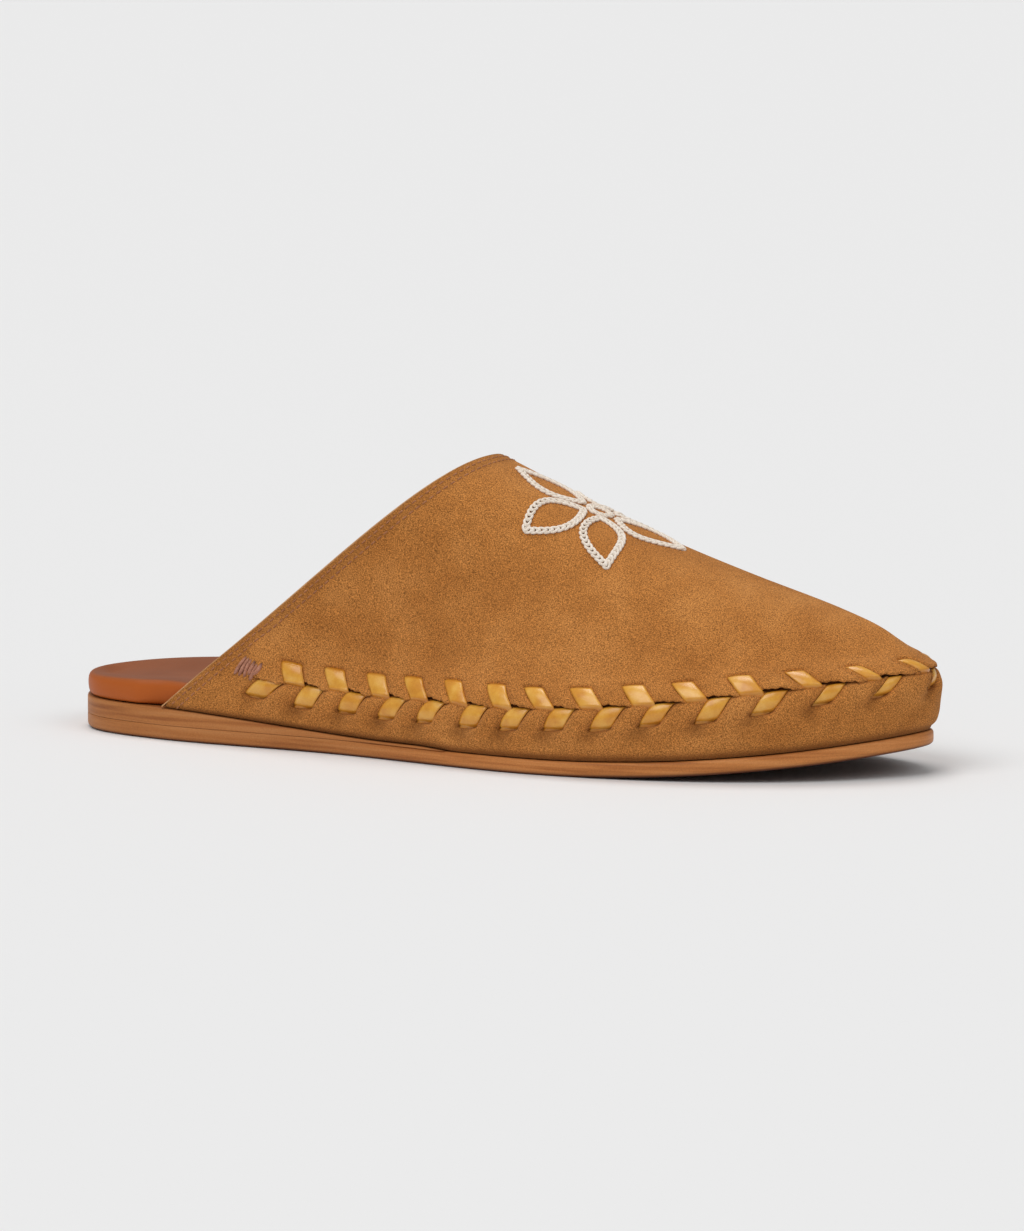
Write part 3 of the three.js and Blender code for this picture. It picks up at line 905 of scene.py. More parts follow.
THONG = LeatherFinish(
    "golden_thong", ((0.64, 0.26, 0.022), (0.73, 0.345, 0.038), (0.79, 0.42, 0.075)), (0.46, 0.135, 0.010),
    patch_scale=210.0, patch_spread=0.17, grain_scale=2400.0, grain_tone=0.08,
    grain_depth=0.00005, grain_strength=0.3,
    roughness=(0.24, 0.36), specular=0.5, coat=0.2,
)
SOLE_LEATHER = LeatherFinish(
    "sole_leather", ((0.35, 0.11, 0.024), (0.56, 0.212, 0.056), (0.64, 0.27, 0.086)), (0.11, 0.030, 0.008),
    patch_scale=24.0, patch_stretch=(1.0, 1.0, 30.0), patch_detail=5.0, patch_spread=0.2, grain_scale=2600.0,
    grain_tone=0.12, grain_depth=0.00004, roughness=(0.42, 0.55), specular=0.25,
)
INSOLE_LEATHER = LeatherFinish(
    "insole_leather", ((0.235, 0.07, 0.025), (0.27, 0.084, 0.031), (0.31, 0.1, 0.039)), (0.46, 0.11, 0.019),
    patch_scale=30.0, grain_scale=1900.0, grain_tone=0.08, grain_depth=0.00004,
    roughness=(0.42, 0.52), specular=0.14,
)
ROSE_THREAD = LeatherFinish(
    "rose_brown_thread", ((0.33, 0.135, 0.08), (0.45, 0.195, 0.12), (0.56, 0.265, 0.175)), (0.12, 0.05, 0.03),
    patch_scale=900.0, grain_scale=4200.0, grain_tone=0.25, grain_depth=0.0001,
    roughness=(0.5, 0.65), specular=0.3,
)
TOPLINE_THREAD = LeatherFinish(
    "russet_thread", ((0.31, 0.12, 0.045), (0.4, 0.16, 0.064), (0.48, 0.21, 0.092)), (0.1, 0.036, 0.011),
    patch_scale=900.0, grain_scale=4200.0, grain_tone=0.25, grain_depth=0.0001,
    roughness=(0.5, 0.65), specular=0.3,
)
CREAM_THREAD = LeatherFinish(
    "cream_thread", ((0.78, 0.67, 0.55), (0.86, 0.76, 0.65), (0.92, 0.84, 0.75)), (0.45, 0.33, 0.2),
    patch_scale=900.0, grain_scale=4200.0, grain_tone=0.2, grain_depth=0.0001,
    roughness=(0.6, 0.75), specular=0.3,
)


class Workshop:
    """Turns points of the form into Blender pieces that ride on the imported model."""

    TURN_STEPS = 2001

    def __init__(self, form: Form) -> None:
        """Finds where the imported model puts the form's heel back and middle line.

        Args:
            form: the shoe's form.
        """
        low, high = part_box("outsole")
        turns = np.linspace(0.0, 1.0, self.TURN_STEPS)
        across = form.outline(turns)[0][:, 1]
        middle = 0.5 * (across.min() + across.max())
        self.shift = np.array([low.x / MM, 0.5 * (low.y + high.y) / MM - middle, 0.0])
        self.materials: dict[str, bpy.types.Material] = {}

    def finish(self, finish: LeatherFinish) -> bpy.types.Material:
        """The material of a finish, made once.

        Args:
            finish: the finish.

        Returns:
            Its material.
        """
        if finish.name not in self.materials:
            self.materials[finish.name] = finish.material()
        return self.materials[finish.name]

    def piece(self, name: str, points: Array, faces: Sequence[Sequence[int]], finish: LeatherFinish,
              node: str, shade: Array | None = None) -> bpy.types.Object:
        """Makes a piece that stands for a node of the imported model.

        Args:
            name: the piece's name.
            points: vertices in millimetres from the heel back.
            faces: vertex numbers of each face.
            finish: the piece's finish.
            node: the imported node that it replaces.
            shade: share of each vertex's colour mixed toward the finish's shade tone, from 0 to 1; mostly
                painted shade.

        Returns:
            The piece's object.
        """
        mesh = bpy.data.meshes.new(name)
        mesh.from_pydata(((points + self.shift) * MM).tolist(), [], faces)
        mesh.update()
        mesh.shade_smooth()
        layer = mesh.attributes.new("shade", "FLOAT", "POINT")
        values = np.zeros(len(points)) if shade is None else np.clip(shade, 0.0, 1.0)
        layer.data.foreach_set("value", values.astype(np.float32))
        mesh.materials.append(self.finish(finish))
        made = bpy.data.objects.new(name, mesh)
        bpy.context.scene.collection.objects.link(made)
        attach(made, "root")
        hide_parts(node)
        log.info("%s: %d vertices, %d faces", name, len(points), len(faces))
        return made


def grid_faces(rows: int, columns: int, first: int = 0, closed: bool = False,
               flip: bool = False) -> list[list[int]]:
    """Faces of a grid of vertices numbered row by row.

    Args:
        rows: number of rows.
        columns: number of columns.
        first: number of the first vertex.
        closed: whether the last column joins the first.
        flip: whether the faces turn the other way.

    Returns:
        Four vertex numbers for each face.
    """
    i, j = np.meshgrid(np.arange(rows - 1), np.arange(columns if closed else columns - 1), indexing="ij")
    k = (j + 1) % columns
    corners = [i * columns + j, i * columns + k, (i + 1) * columns + k, (i + 1) * columns + j]
    quads = (np.stack(corners, -1) + first).reshape(-1, 4)
    return (quads[:, ::-1] if flip else quads).tolist()


def welded_faces(rows: int, columns: int, flip: bool = False) -> tuple[list[list[int]], int]:
    """Faces of a grid whose last row is folded at its middle and welded to itself.

    Args:
        rows: number of rows.
        columns: number of columns, which is odd.
        flip: whether the faces turn the other way.

    Returns:
        Vertex numbers of each face, and how many vertices are kept.
    """
    half = columns // 2
    numbers = np.arange(rows * columns).reshape(rows, columns)
    numbers[-1, half + 1:] = numbers[-1, :half][::-1]
    corners = [numbers[:-1, :-1], numbers[:-1, 1:], numbers[1:, 1:], numbers[1:, :-1]]
    if flip:
        corners = [corners[0], *corners[:0:-1]]
    quads = np.stack(corners, -1).reshape(-1, 4).tolist()
    faces = [list(dict.fromkeys(quad)) for quad in quads]
    return [face for face in faces if len(face) > 2], (rows - 1) * columns + half + 1


# Edges of the three layers from the underside up: inset, height or share of the layer's height, and shade,
# the share mixed toward the finish's shade tone.
# Outsole: painted shadow darkens the rounded tread edge toward the floor, for the dark contact line under the
# sole; the underside is as dark, a guess at darker tread leather.
# Painted shade on the outsole's top bevel, under the wedge and the upper.
OUTSOLE_EDGE = (
    (3.0, 0.0, 1.0), (1.3, 0.0, 1.0), (0.75, 0.2, 1.0), (0.35, 0.52, 0.8), (0.1, 0.9, 0.25), (0.0, 1.5, 0.0),
    (0.0, 2.6, 0.0), (0.02, 3.45, 0.0), (0.12, 3.7, 0.0), (0.4, 4.08, 0.0), (0.65, 4.17, 0.1),
    (0.95, 4.2, 0.4), (4.0, 4.2, 0.6),
)
# Wedge: darkened all over like the outsole's heel, with painted shade deeper at its joins with the outsole
# and the insole.
WEDGE_EDGE = (
    (3.0, 0.0, 0.5), (0.04, 0.0, 0.32), (0.0, 0.02, 0.28), (0.0, 0.1, 0.26), (0.0, 0.5, 0.26),
    (0.0, 0.8, 0.26), (0.04, 0.9, 0.28), (0.15, 0.97, 0.36), (0.4, 1.0, 0.6), (3.0, 1.0, 0.7),
)
# Insole: its shade tone is the orange of its own edge, which fades out onto the browner face; no shade is
# painted here.
INSOLE_EDGE = (
    (1.6, 0.0, 1.0), (0.8, 0.02, 1.0), (0.38, 0.1, 1.0), (0.14, 0.24, 1.0), (0.02, 0.45, 1.0),
    (0.02, 0.62, 1.0), (0.14, 0.78, 1.0), (0.42, 0.9, 0.75), (0.85, 0.97, 0.4), (1.4, 1.0, 0.15),
)


@dataclass
class SoleUnit:
    """Outsole, heel wedge and insole: solids of rings round the sole's plan."""

    form: Form
    shop: Workshop
    steps: int = 220
    end_ease: float = 0.6
    skive_end: float = 131.0
    wedge_least: float = 0.02
    heel_bevel: float = 0.08
    bevel_run: tuple[float, float] = (85.0, 125.0)
    bevel_above: float = 3.0
    bevel_within: float = 1.0
    heel_shade: float = 0.26
    heel_shade_run: tuple[float, float] = (80.0, 140.0)
    dish_rings: tuple[float, ...] = (0.05, 0.12, 0.2, 0.3, 0.42, 0.55, 0.68, 0.8, 0.9, 0.97)
    dish_end: float = 0.85
    spine_end: int = 22

    def ring(self, inset: float | Callable[[Array], Array], height: Callable[[Array], Array],
             end_x: float | None = None) -> Array:
        """A ring of points down the outer side and back up the inner side.

        Args:
            inset: distance inside the sole's edge, or its function of x.
            height: height as a function of x.
            end_x: where both sides stop, or None for the whole sole.

        Returns:
            Points of the ring.
        """
        even = np.linspace(0.0, 1.0, self.steps + 1)
        share = mix(even, 0.5 - 0.5 * np.cos(np.pi * even), self.end_ease)
        rows = []
        for side in Side:
            end = 1.0 if end_x is None else self.form.share_at(side.value, end_x)
            at, out = self.form.edge(side.value, share * end)
            x = at[:, 0]
            depth = inset(x) if callable(inset) else inset
            plan = at - out * np.reshape(depth, (-1, 1))
            rows.append(np.column_stack([plan, height(x)]))
        outer, inner = rows
        back = inner[1:-1] if end_x is None else inner[1:]
        return np.concatenate([outer, back[::-1]])

    @staticmethod
    def cap(count: int, first: int, flip: bool) -> list[list[int]]:
        """Faces that close a ring from side to side.

        Args:
            count: number of points in the ring.
            first: number of its first vertex.
            flip: whether the faces turn the other way.

        Returns:
            Vertex numbers of each face.
        """
        faces = [[first + 1, first + count - 1, first]]
        left, right = 1, count - 1
        while right - left > 1:
            if right - left > 2:
                faces.append([first + left, first + left + 1, first + right - 1, first + right])
            else:
                faces.append([first + left, first + left + 1, first + right])
            left, right = left + 1, right - 1
        return [face[::-1] for face in faces] if flip else faces

    def solid(self, name: str, rings: Sequence[Array], finish: LeatherFinish, node: str,
              shade: Array | None = None) -> bpy.types.Object:
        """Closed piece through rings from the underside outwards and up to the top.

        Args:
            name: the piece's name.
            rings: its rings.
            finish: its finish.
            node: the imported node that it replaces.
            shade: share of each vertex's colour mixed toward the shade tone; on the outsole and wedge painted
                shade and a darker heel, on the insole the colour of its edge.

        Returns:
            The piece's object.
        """
        count = len(rings[0])
        faces = grid_faces(len(rings), count, closed=True)
        faces += self.cap(count, 0, True) + self.cap(count, (len(rings) - 1) * count, False)
        return self.shop.piece(name, np.concatenate(rings), faces, finish, node, shade)

    def outsole(self) -> None:
        """Leather outsole with a rounded tread edge and a bevelled top edge."""
        form, thick = self.form, self.form.sizes.outsole_thickness

        def inset(x: Array, depth: float, up: float) -> Array:
            """Inset of the edge: the top bevel is slight under the wedge and full along the forepart."""
            bevelled = self.bevel_above < up and depth < self.bevel_within
            bevel = mix(self.heel_bevel, 1.0, smooth(*self.bevel_run, x))
            return depth * (bevel if bevelled else np.ones_like(x))

        rings = [
            self.ring(lambda x, d=depth, u=up: inset(x, d, u), lambda x, u=up: form.spring(x) + min(u, thick))
            for depth, up, _ in OUTSOLE_EDGE
        ]
        # Painted shadow on the tread edge and painted shade on the top bevel, from the table.
        tone = np.repeat([shade for _, _, shade in OUTSOLE_EDGE], len(rings[0]))
        # The edge is also darker towards the heel.
        heel = self.heel_shade * (1 - smooth(*self.heel_shade_run, np.concatenate(rings)[:, 0]))
        self.solid("outsole_leather", rings, SOLE_LEATHER, "outsole", np.maximum(tone, heel))

    def wedge(self) -> None:
        """Stacked heel wedge, one lift that thins to a skived front."""
        form, sizes = self.form, self.form.sizes
        seat = sizes.outsole_thickness + sizes.flat_gap

        def height(x: Array, up: float) -> Array:
            """Height at a share of the wedge's thickness."""
            return mix(seat, np.maximum(form.bed(x), seat + self.wedge_least), up)

        rings = [
            self.ring(inset, lambda x, u=up: height(x, u), self.skive_end)
            for inset, up, _ in WEDGE_EDGE
        ]
        tone = np.repeat([shade for _, _, shade in WEDGE_EDGE], len(rings[0]))
        self.solid("wedge_leather", rings, SOLE_LEATHER, "heel_wedge", tone)

    def insole(self) -> None:
        """Leather footbed with a rolled edge, a dished top and a browner face."""
        form, sizes = self.form, self.form.sizes
        wall = sizes.suede_wall + sizes.insole_wall_gap

        def inset(x: Array, extra: float) -> Array:
            """Inset of the footbed's edge from the sole's edge."""
            step = smooth(sizes.insole_step_start, sizes.insole_step_end, x)
            return mix(sizes.insole_heel_inset, wall, step) + extra

        def height(x: Array, up: float) -> Array:
            """Height of the footbed's edge."""
            return form.bed(x) + sizes.seat_gap + up * through(FOOTBED, x)[..., 1]

        rings = [
            self.ring(lambda x, e=extra: inset(x, e), lambda x, u=up: height(x, u))
            for extra, up, _ in INSOLE_EDGE
        ]
        rim = rings[-1]
        count = len(rim)
        numbers = np.arange(count)
        partner = np.clip(np.minimum(numbers, count - numbers), self.spine_end, count // 2 - self.spine_end)
        middle = 0.5 * (rim[partner] + rim[count - partner])
        for share in self.dish_rings:
            drop = sizes.insole_dish * smooth(0.0, self.dish_end, np.array(share))
            rings.append(mix(rim, middle, share) - UP * drop)
        tone = [shade for _, _, shade in INSOLE_EDGE] + [0.0] * len(self.dish_rings)
        self.solid("insole_leather", rings, INSOLE_LEATHER, "insole", np.repeat(tone, count))

    def build(self) -> None:
        """Builds the three layers from the floor up."""
        self.outsole()
        self.wedge()
        self.insole()


# Rows of the seam's groove: height where the seam is flat, height where it is open, depth where it is open.
GROOVE = ((-0.3, -0.35, -0.1), (-0.2, 0.15, -0.5), (-0.1, 0.9, -1.2), (0.0, 1.6, -1.3), (0.1, 1.3, -0.7))
# Rows of the vamp's raw edge: height where the seam is flat, height beyond the edge where it is open,
# depth in thicknesses of the suede.
RAW_EDGE = ((0.2, 0.7, -1.0), (0.28, 0.12, -0.88), (0.36, -0.06, -0.5), (0.44, 0.0, -0.16), (0.52, 0.28, 0.0))
# Painted shade across the topline's cut edge, from the suede to the lining, darkest where the edge meets each
# of them.
CUT_SHADES = (0.35, 0.15, 0.0, 0.0, 0.0, 0.0, 0.0, 0.0, 0.05, 0.2, 0.4)


@dataclass
class SuedeUpper:
    """The suede upper: side wall, laced seam and vamp in one skin, with its lining and the cut topline."""

    form: Form
    shop: Workshop
    relief: SeamRelief
    columns: int = 801
    wall_rows: int = 34
    near_rows: int = 26
    far_rows: int = 46
    near_reach: float = 13.0
    tuck: float = 0.9
    thickness: float = 0.9
    band_shade: float = 0.24
    band_start: float = 3.0
    band_end: float = 6.5
    lap_ease: float = 0.78
    wall_top: float = 0.45
    foot_ease: float = 3.0
    curl_reach: float = 1.5
    curl_shade: float = 0.75
    wall_dent_shade: tuple[float, float] = (0.45, 0.6)
    groove_top: float = -0.3
    groove_fade: tuple[float, float] = (0.6, -0.4)
    groove_shade: float = 0.25
    edge_shade: tuple[float, float, float] = (0.6, 0.1, 0.5)
    near_ease: float = 1.15
    vamp_dent_shade: tuple[float, float] = (0.3, 0.5)
    turn_in: float = 3.4
    lining_columns: int = 241
    lining_rows: int = 48
    lining_start: float = 0.02
    lining_shade: float = 0.5
    lining_shade_run: tuple[float, float] = (0.1, 0.75)
    topline_step: float = 2e-3
    rim_steps: int = 150
    rim_overlap: float = 1.02
    rim_reach: float = 0.75

    def laps(self) -> Array:
        """Laps of the skin's columns, closer together round the toe."""
        even = np.linspace(-1.0, 1.0, self.columns)
        return even * (self.lap_ease + (1 - self.lap_ease) * even * even)

    def skin(self) -> bpy.types.Object:
        """Side wall, raw vamp edge over the groove of the seam, and vamp, welded along the crest.

        Returns:
            The skin's object.
        """
        form, relief = self.form, self.relief
        lap = self.laps()
        seam_length = form.length_at(lap)
        rake = form.section(lap).rake
        stretch = np.hypot(1.0, rake)
        wall, vamp = form.spans(lap)
        opened = relief.opening(seam_length)
        edge = relief.edge_height(seam_length)

        def along(height: Array) -> Array:
            """Length along the seam of the points of a row."""
            return seam_length - np.sign(lap) * height * rake

        distances, lifts, shades = [], [], []

        def add(distance: Array, lift: Array, shade: Array) -> None:
            """Adds a row of the skin.

            Args:
                distance: distances from the seam.
                lift: heights off the face.
                shade: painted shade.
            """
            distances.append(np.broadcast_to(distance, lap.shape))
            lifts.append(np.broadcast_to(lift, lap.shape))
            shades.append(np.broadcast_to(shade, lap.shape))

        for t in np.linspace(0.0, 1.0, self.wall_rows):
            distance = -wall * (1 - t) - self.wall_top * stretch * t
            height = distance / stretch
            lift = relief.wall(along(height), height)
            foot = wall + distance
            curl = np.exp(-((foot / self.curl_reach) ** 2))
            # Painted shade in the wall's dents and where its foot curls under onto the sole.
            shade_mix = np.clip(-self.wall_dent_shade[0] * lift, 0.0, self.wall_dent_shade[1])
            lift = lift * smooth(0.0, self.foot_ease, foot) - self.tuck * curl
            add(distance, lift, shade_mix + self.curl_shade * curl)
        for flat, height, depth in GROOVE:
            row = mix(flat, height, opened)
            below = relief.wall(along(row), np.minimum(row, self.groove_top))
            lift = below * smooth(*self.groove_fade, row) + depth * opened
            # Painted shade in the groove of the open seam.
            add(row * stretch, lift, opened * min(1.0, self.groove_shade - depth))
        # Painted shade under the vamp's raw edge, from its depth below the face.
        deep, clear, most = self.edge_shade
        for flat, beyond, below in RAW_EDGE:
            row = mix(flat, edge + beyond, opened)
            lift = relief.vamp(along(row), row) + below * self.thickness * opened
            add(row * stretch, lift, opened * np.clip(-deep * below - clear, 0.0, most))
        top = row * stretch
        reach = np.minimum(self.near_reach, 0.5 * vamp)
        for t in np.linspace(0.0, 1.0, self.near_rows + 1)[1:]:
            distance = mix(top, reach, t**self.near_ease)
            height = distance / stretch
            lift = relief.vamp(along(height), height)
            # Painted shade in the vamp's dents.
            add(distance, lift, np.clip(-self.vamp_dent_shade[0] * lift, 0.0, self.vamp_dent_shade[1]))
        for t in np.linspace(0.0, 1.0, self.far_rows + 1)[1:]:
            add(mix(reach, vamp, t), np.zeros_like(vamp), np.zeros_like(vamp))
        points = form.lifted(lap, np.array(distances), np.array(lifts))
        cut = form.section(lap)
        points = np.concatenate([(cut.foot - cut.out * self.turn_in)[None], points])
        ends = [np.linalg.norm(points - points[:, [end]], axis=-1) for end in (0, -1)]
        # A darker band of suede along the topline.
        band = self.band_shade * (1 - smooth(self.band_start, self.band_end, np.minimum(*ends)))
        # The row turned in under the foot is painted in full shade.
        shade = np.maximum(np.concatenate([np.ones((1, len(lap))), np.array(shades)]), band)
        faces, kept = welded_faces(len(points), self.columns)
        return self.shop.piece("suede_upper", points.reshape(-1, 3)[:kept], faces, SUEDE, "upper",
                               shade.reshape(-1)[:kept])

    def lining(self) -> None:
        """Inner face of the upper, from the footbed to the crest."""
        form = self.form
        lap = np.linspace(-1.0, 1.0, self.lining_columns)
        level = np.linspace(self.lining_start, 1.0, self.lining_rows)
        laps, levels = np.meshgrid(lap, level)
        points = form.face(laps, levels) - form.square(laps, levels) * form.sizes.suede_wall
        faces, kept = welded_faces(self.lining_rows, self.lining_columns, flip=True)
        # Painted shade: darker deeper into the toe, inside the shoe.
        shade = self.lining_shade * smooth(*self.lining_shade_run, 1 - np.abs(laps)).reshape(-1)
        self.shop.piece("upper_lining", points.reshape(-1, 3)[:kept], faces, LINING, "upper", shade[:kept])

    def topline(self, steps: int) -> tuple[Array, Array, Array]:
        """The topline from the outer foot over the peak to the inner foot.

        Args:
            steps: number of points on each side.

        Returns:
            Points, directions off the face and directions out of the opening.
        """
        level = np.linspace(0.0, 1.0, steps)
        rows = []
        for side in Side:
            lap = np.full(steps, float(side.value))
            at = self.form.face(lap, level)
            off = self.form.square(lap, level)
            back = at - self.form.face(lap * (1 - self.topline_step), level)
            rows.append((at, off, back))
        at, off, back = (np.concatenate([a, b[-2::-1]]) for a, b in zip(*rows))
        tangent = unit(np.gradient(at, axis=0))
        off = unit(off - tangent * (off * tangent).sum(-1, keepdims=True))
        back = back - tangent * (back * tangent).sum(-1, keepdims=True)
        back = unit(back - off * (back * off).sum(-1, keepdims=True))
        return at, off, back

    def rim(self) -> None:
        """Half-round cut edge round the topline, between the suede and the lining."""
        at, off, back = self.topline(self.rim_steps)
        half = 0.5 * self.form.sizes.suede_wall
        turn = np.linspace(0.0, np.pi, len(CUT_SHADES))[:, None, None]
        over = off * half * self.rim_overlap * np.cos(turn)
        points = at - off * half + over + back * self.rim_reach * np.sin(turn)
        faces = grid_faces(len(turn), len(at), flip=True)
        shade = np.repeat(CUT_SHADES, len(at))
        self.shop.piece("topline_edge", points.reshape(-1, 3), faces, CUT_EDGE, "upper", shade)

    def build(self) -> bpy.types.Object:
        """Builds the skin, the lining and the topline's edge.

        Returns:
            The skin's object.
        """
        made = self.skin()
        self.lining()
        self.rim()
        return made


@dataclass
class ThongLacing:
    """Flat golden thong: a crowned bar for each pass, from its slit to the groove of the seam."""

    form: Form
    shop: Workshop
    relief: SeamRelief
    thickness: float = 0.8
    crown: float = 0.36
    swell_up: float = 0.35
    swell_down: float = 0.55
    ride_height: float = 0.5
    deepest: float = -1.8
    least: float = 0.1
    ring_runs: tuple[tuple[float, float, int], ...] = ((-0.2, 0.15, 8), (0.2, 0.85, 9), (0.9, 1.42, 11))
    face_points: int = 11
    back_points: int = 6
    back_half: float = 0.9
    stiffness: float = 0.6
    dive: float = 2.2
    slit_dive: tuple[float, float] = (0.09, -0.2)
    seam_dive_up: tuple[float, float] = (1.08, 1.38)
    seam_dive_down: tuple[float, float] = (0.84, 1.15)
    edge_start: float = 0.84
    edge_drop: float = 0.16
    slit_shade: float = -0.02
    seam_shade_up: float = 1.2
    seam_shade_down: float = 1.06
    end_fade: float = 0.2
    end_shade: float = 0.55
    edge_shade: float = 0.2
    edge_shade_start: float = 0.8

    def bar(self, bars: BarSet, k: int) -> tuple[Array, Array]:
        """Points of one bar, ring by ring from its slit to the seam.

        Args:
            bars: the row that the bar belongs to.
            k: number of the bar in its row.

        Returns:
            Points of the rings, and the painted shade of each.
        """
        upper = bars.row is Row.UPPER
        t = np.concatenate([np.linspace(*run) for run in self.ring_runs])
        face = np.linspace(-1, 1, self.face_points)
        across = np.concatenate([face, np.linspace(self.back_half, -self.back_half, self.back_points)])
        is_top = (np.arange(len(across)) < self.face_points)[None, :]
        tt, aa = np.meshgrid(t, across, indexing="ij")
        height = bars.reaches[k] * (1 - tt) * bars.row.value
        length = bars.tips[k] - bars.slants[k] * (1 - tt) + aa * bars.halves[k]
        ease = self.relief.vamp if upper else self.relief.wall
        under = ease(length.ravel(), height.ravel()).reshape(tt.shape)
        spine = self.face_points // 2
        base = mix(under, ease(length[:, spine], height[:, spine])[:, None], self.stiffness)
        into_seam = smooth(*(self.seam_dive_up if upper else self.seam_dive_down), tt)
        dive = self.dive * smooth(*self.slit_dive, tt) + self.dive * into_seam
        swell = (self.swell_up if upper else self.swell_down) * np.sin(np.pi * np.clip(tt, 0, 1))
        edge = self.crown * aa**2 + self.edge_drop * smooth(self.edge_start, 1.0, np.abs(aa))
        profile = np.where(is_top, self.crown - edge, -self.thickness)
        lift = base + self.ride_height + swell - dive + profile
        lift = np.maximum(lift, self.deepest + self.least * is_top)
        points = self.form.beside_seam(length.ravel(), height.ravel(), lift.ravel())
        # Painted shade where the bar dives into its slit and into the seam, and along its rounded-down edges.
        seam_end = self.seam_shade_up if upper else self.seam_shade_down
        near_end = np.minimum(tt - self.slit_shade, seam_end - tt)
        ends = np.clip(1.0 - near_end / self.end_fade, 0.0, 1.0)
        edges = smooth(self.edge_shade_start, 1.0, np.abs(aa))
        return points, (ends * self.end_shade + self.edge_shade * edges).ravel()

    def build(self) -> None:
        """Builds every bar of both rows as one piece."""
        rings = sum(count for _, _, count in self.ring_runs)
        count = self.face_points + self.back_points
        points, faces, shades = [], [], []
        for bars in (self.relief.plan.upper, self.relief.plan.lower):
            for k in range(len(bars.tips)):
                first = len(points) * rings * count
                made, shade = self.bar(bars, k)
                points.append(made)
                shades.append(shade)
                faces += grid_faces(rings, count, first, closed=True, flip=bars.row is Row.UPPER)
        self.shop.piece("thong_bars", np.concatenate(points), faces, THONG, "lacing", np.concatenate(shades))


@dataclass
class ThreadMesh:
    """Vertices, faces and shades of many threads, gathered for one piece."""

    points: list[Array] = field(default_factory=list)
    faces: list[list[int]] = field(default_factory=list)
    shades: list[Array] = field(default_factory=list)
    total: int = 0

    def add(self, points: Array, faces: list[list[int]], shade: Array) -> None:
        """Adds a thread.

        Args:
            points: its vertices.
            faces: its faces, numbered from the total so far.
            shade: painted shade for each vertex.
        """
        self.points.append(points)
        self.faces += faces
        self.shades.append(shade)
        self.total += len(points)


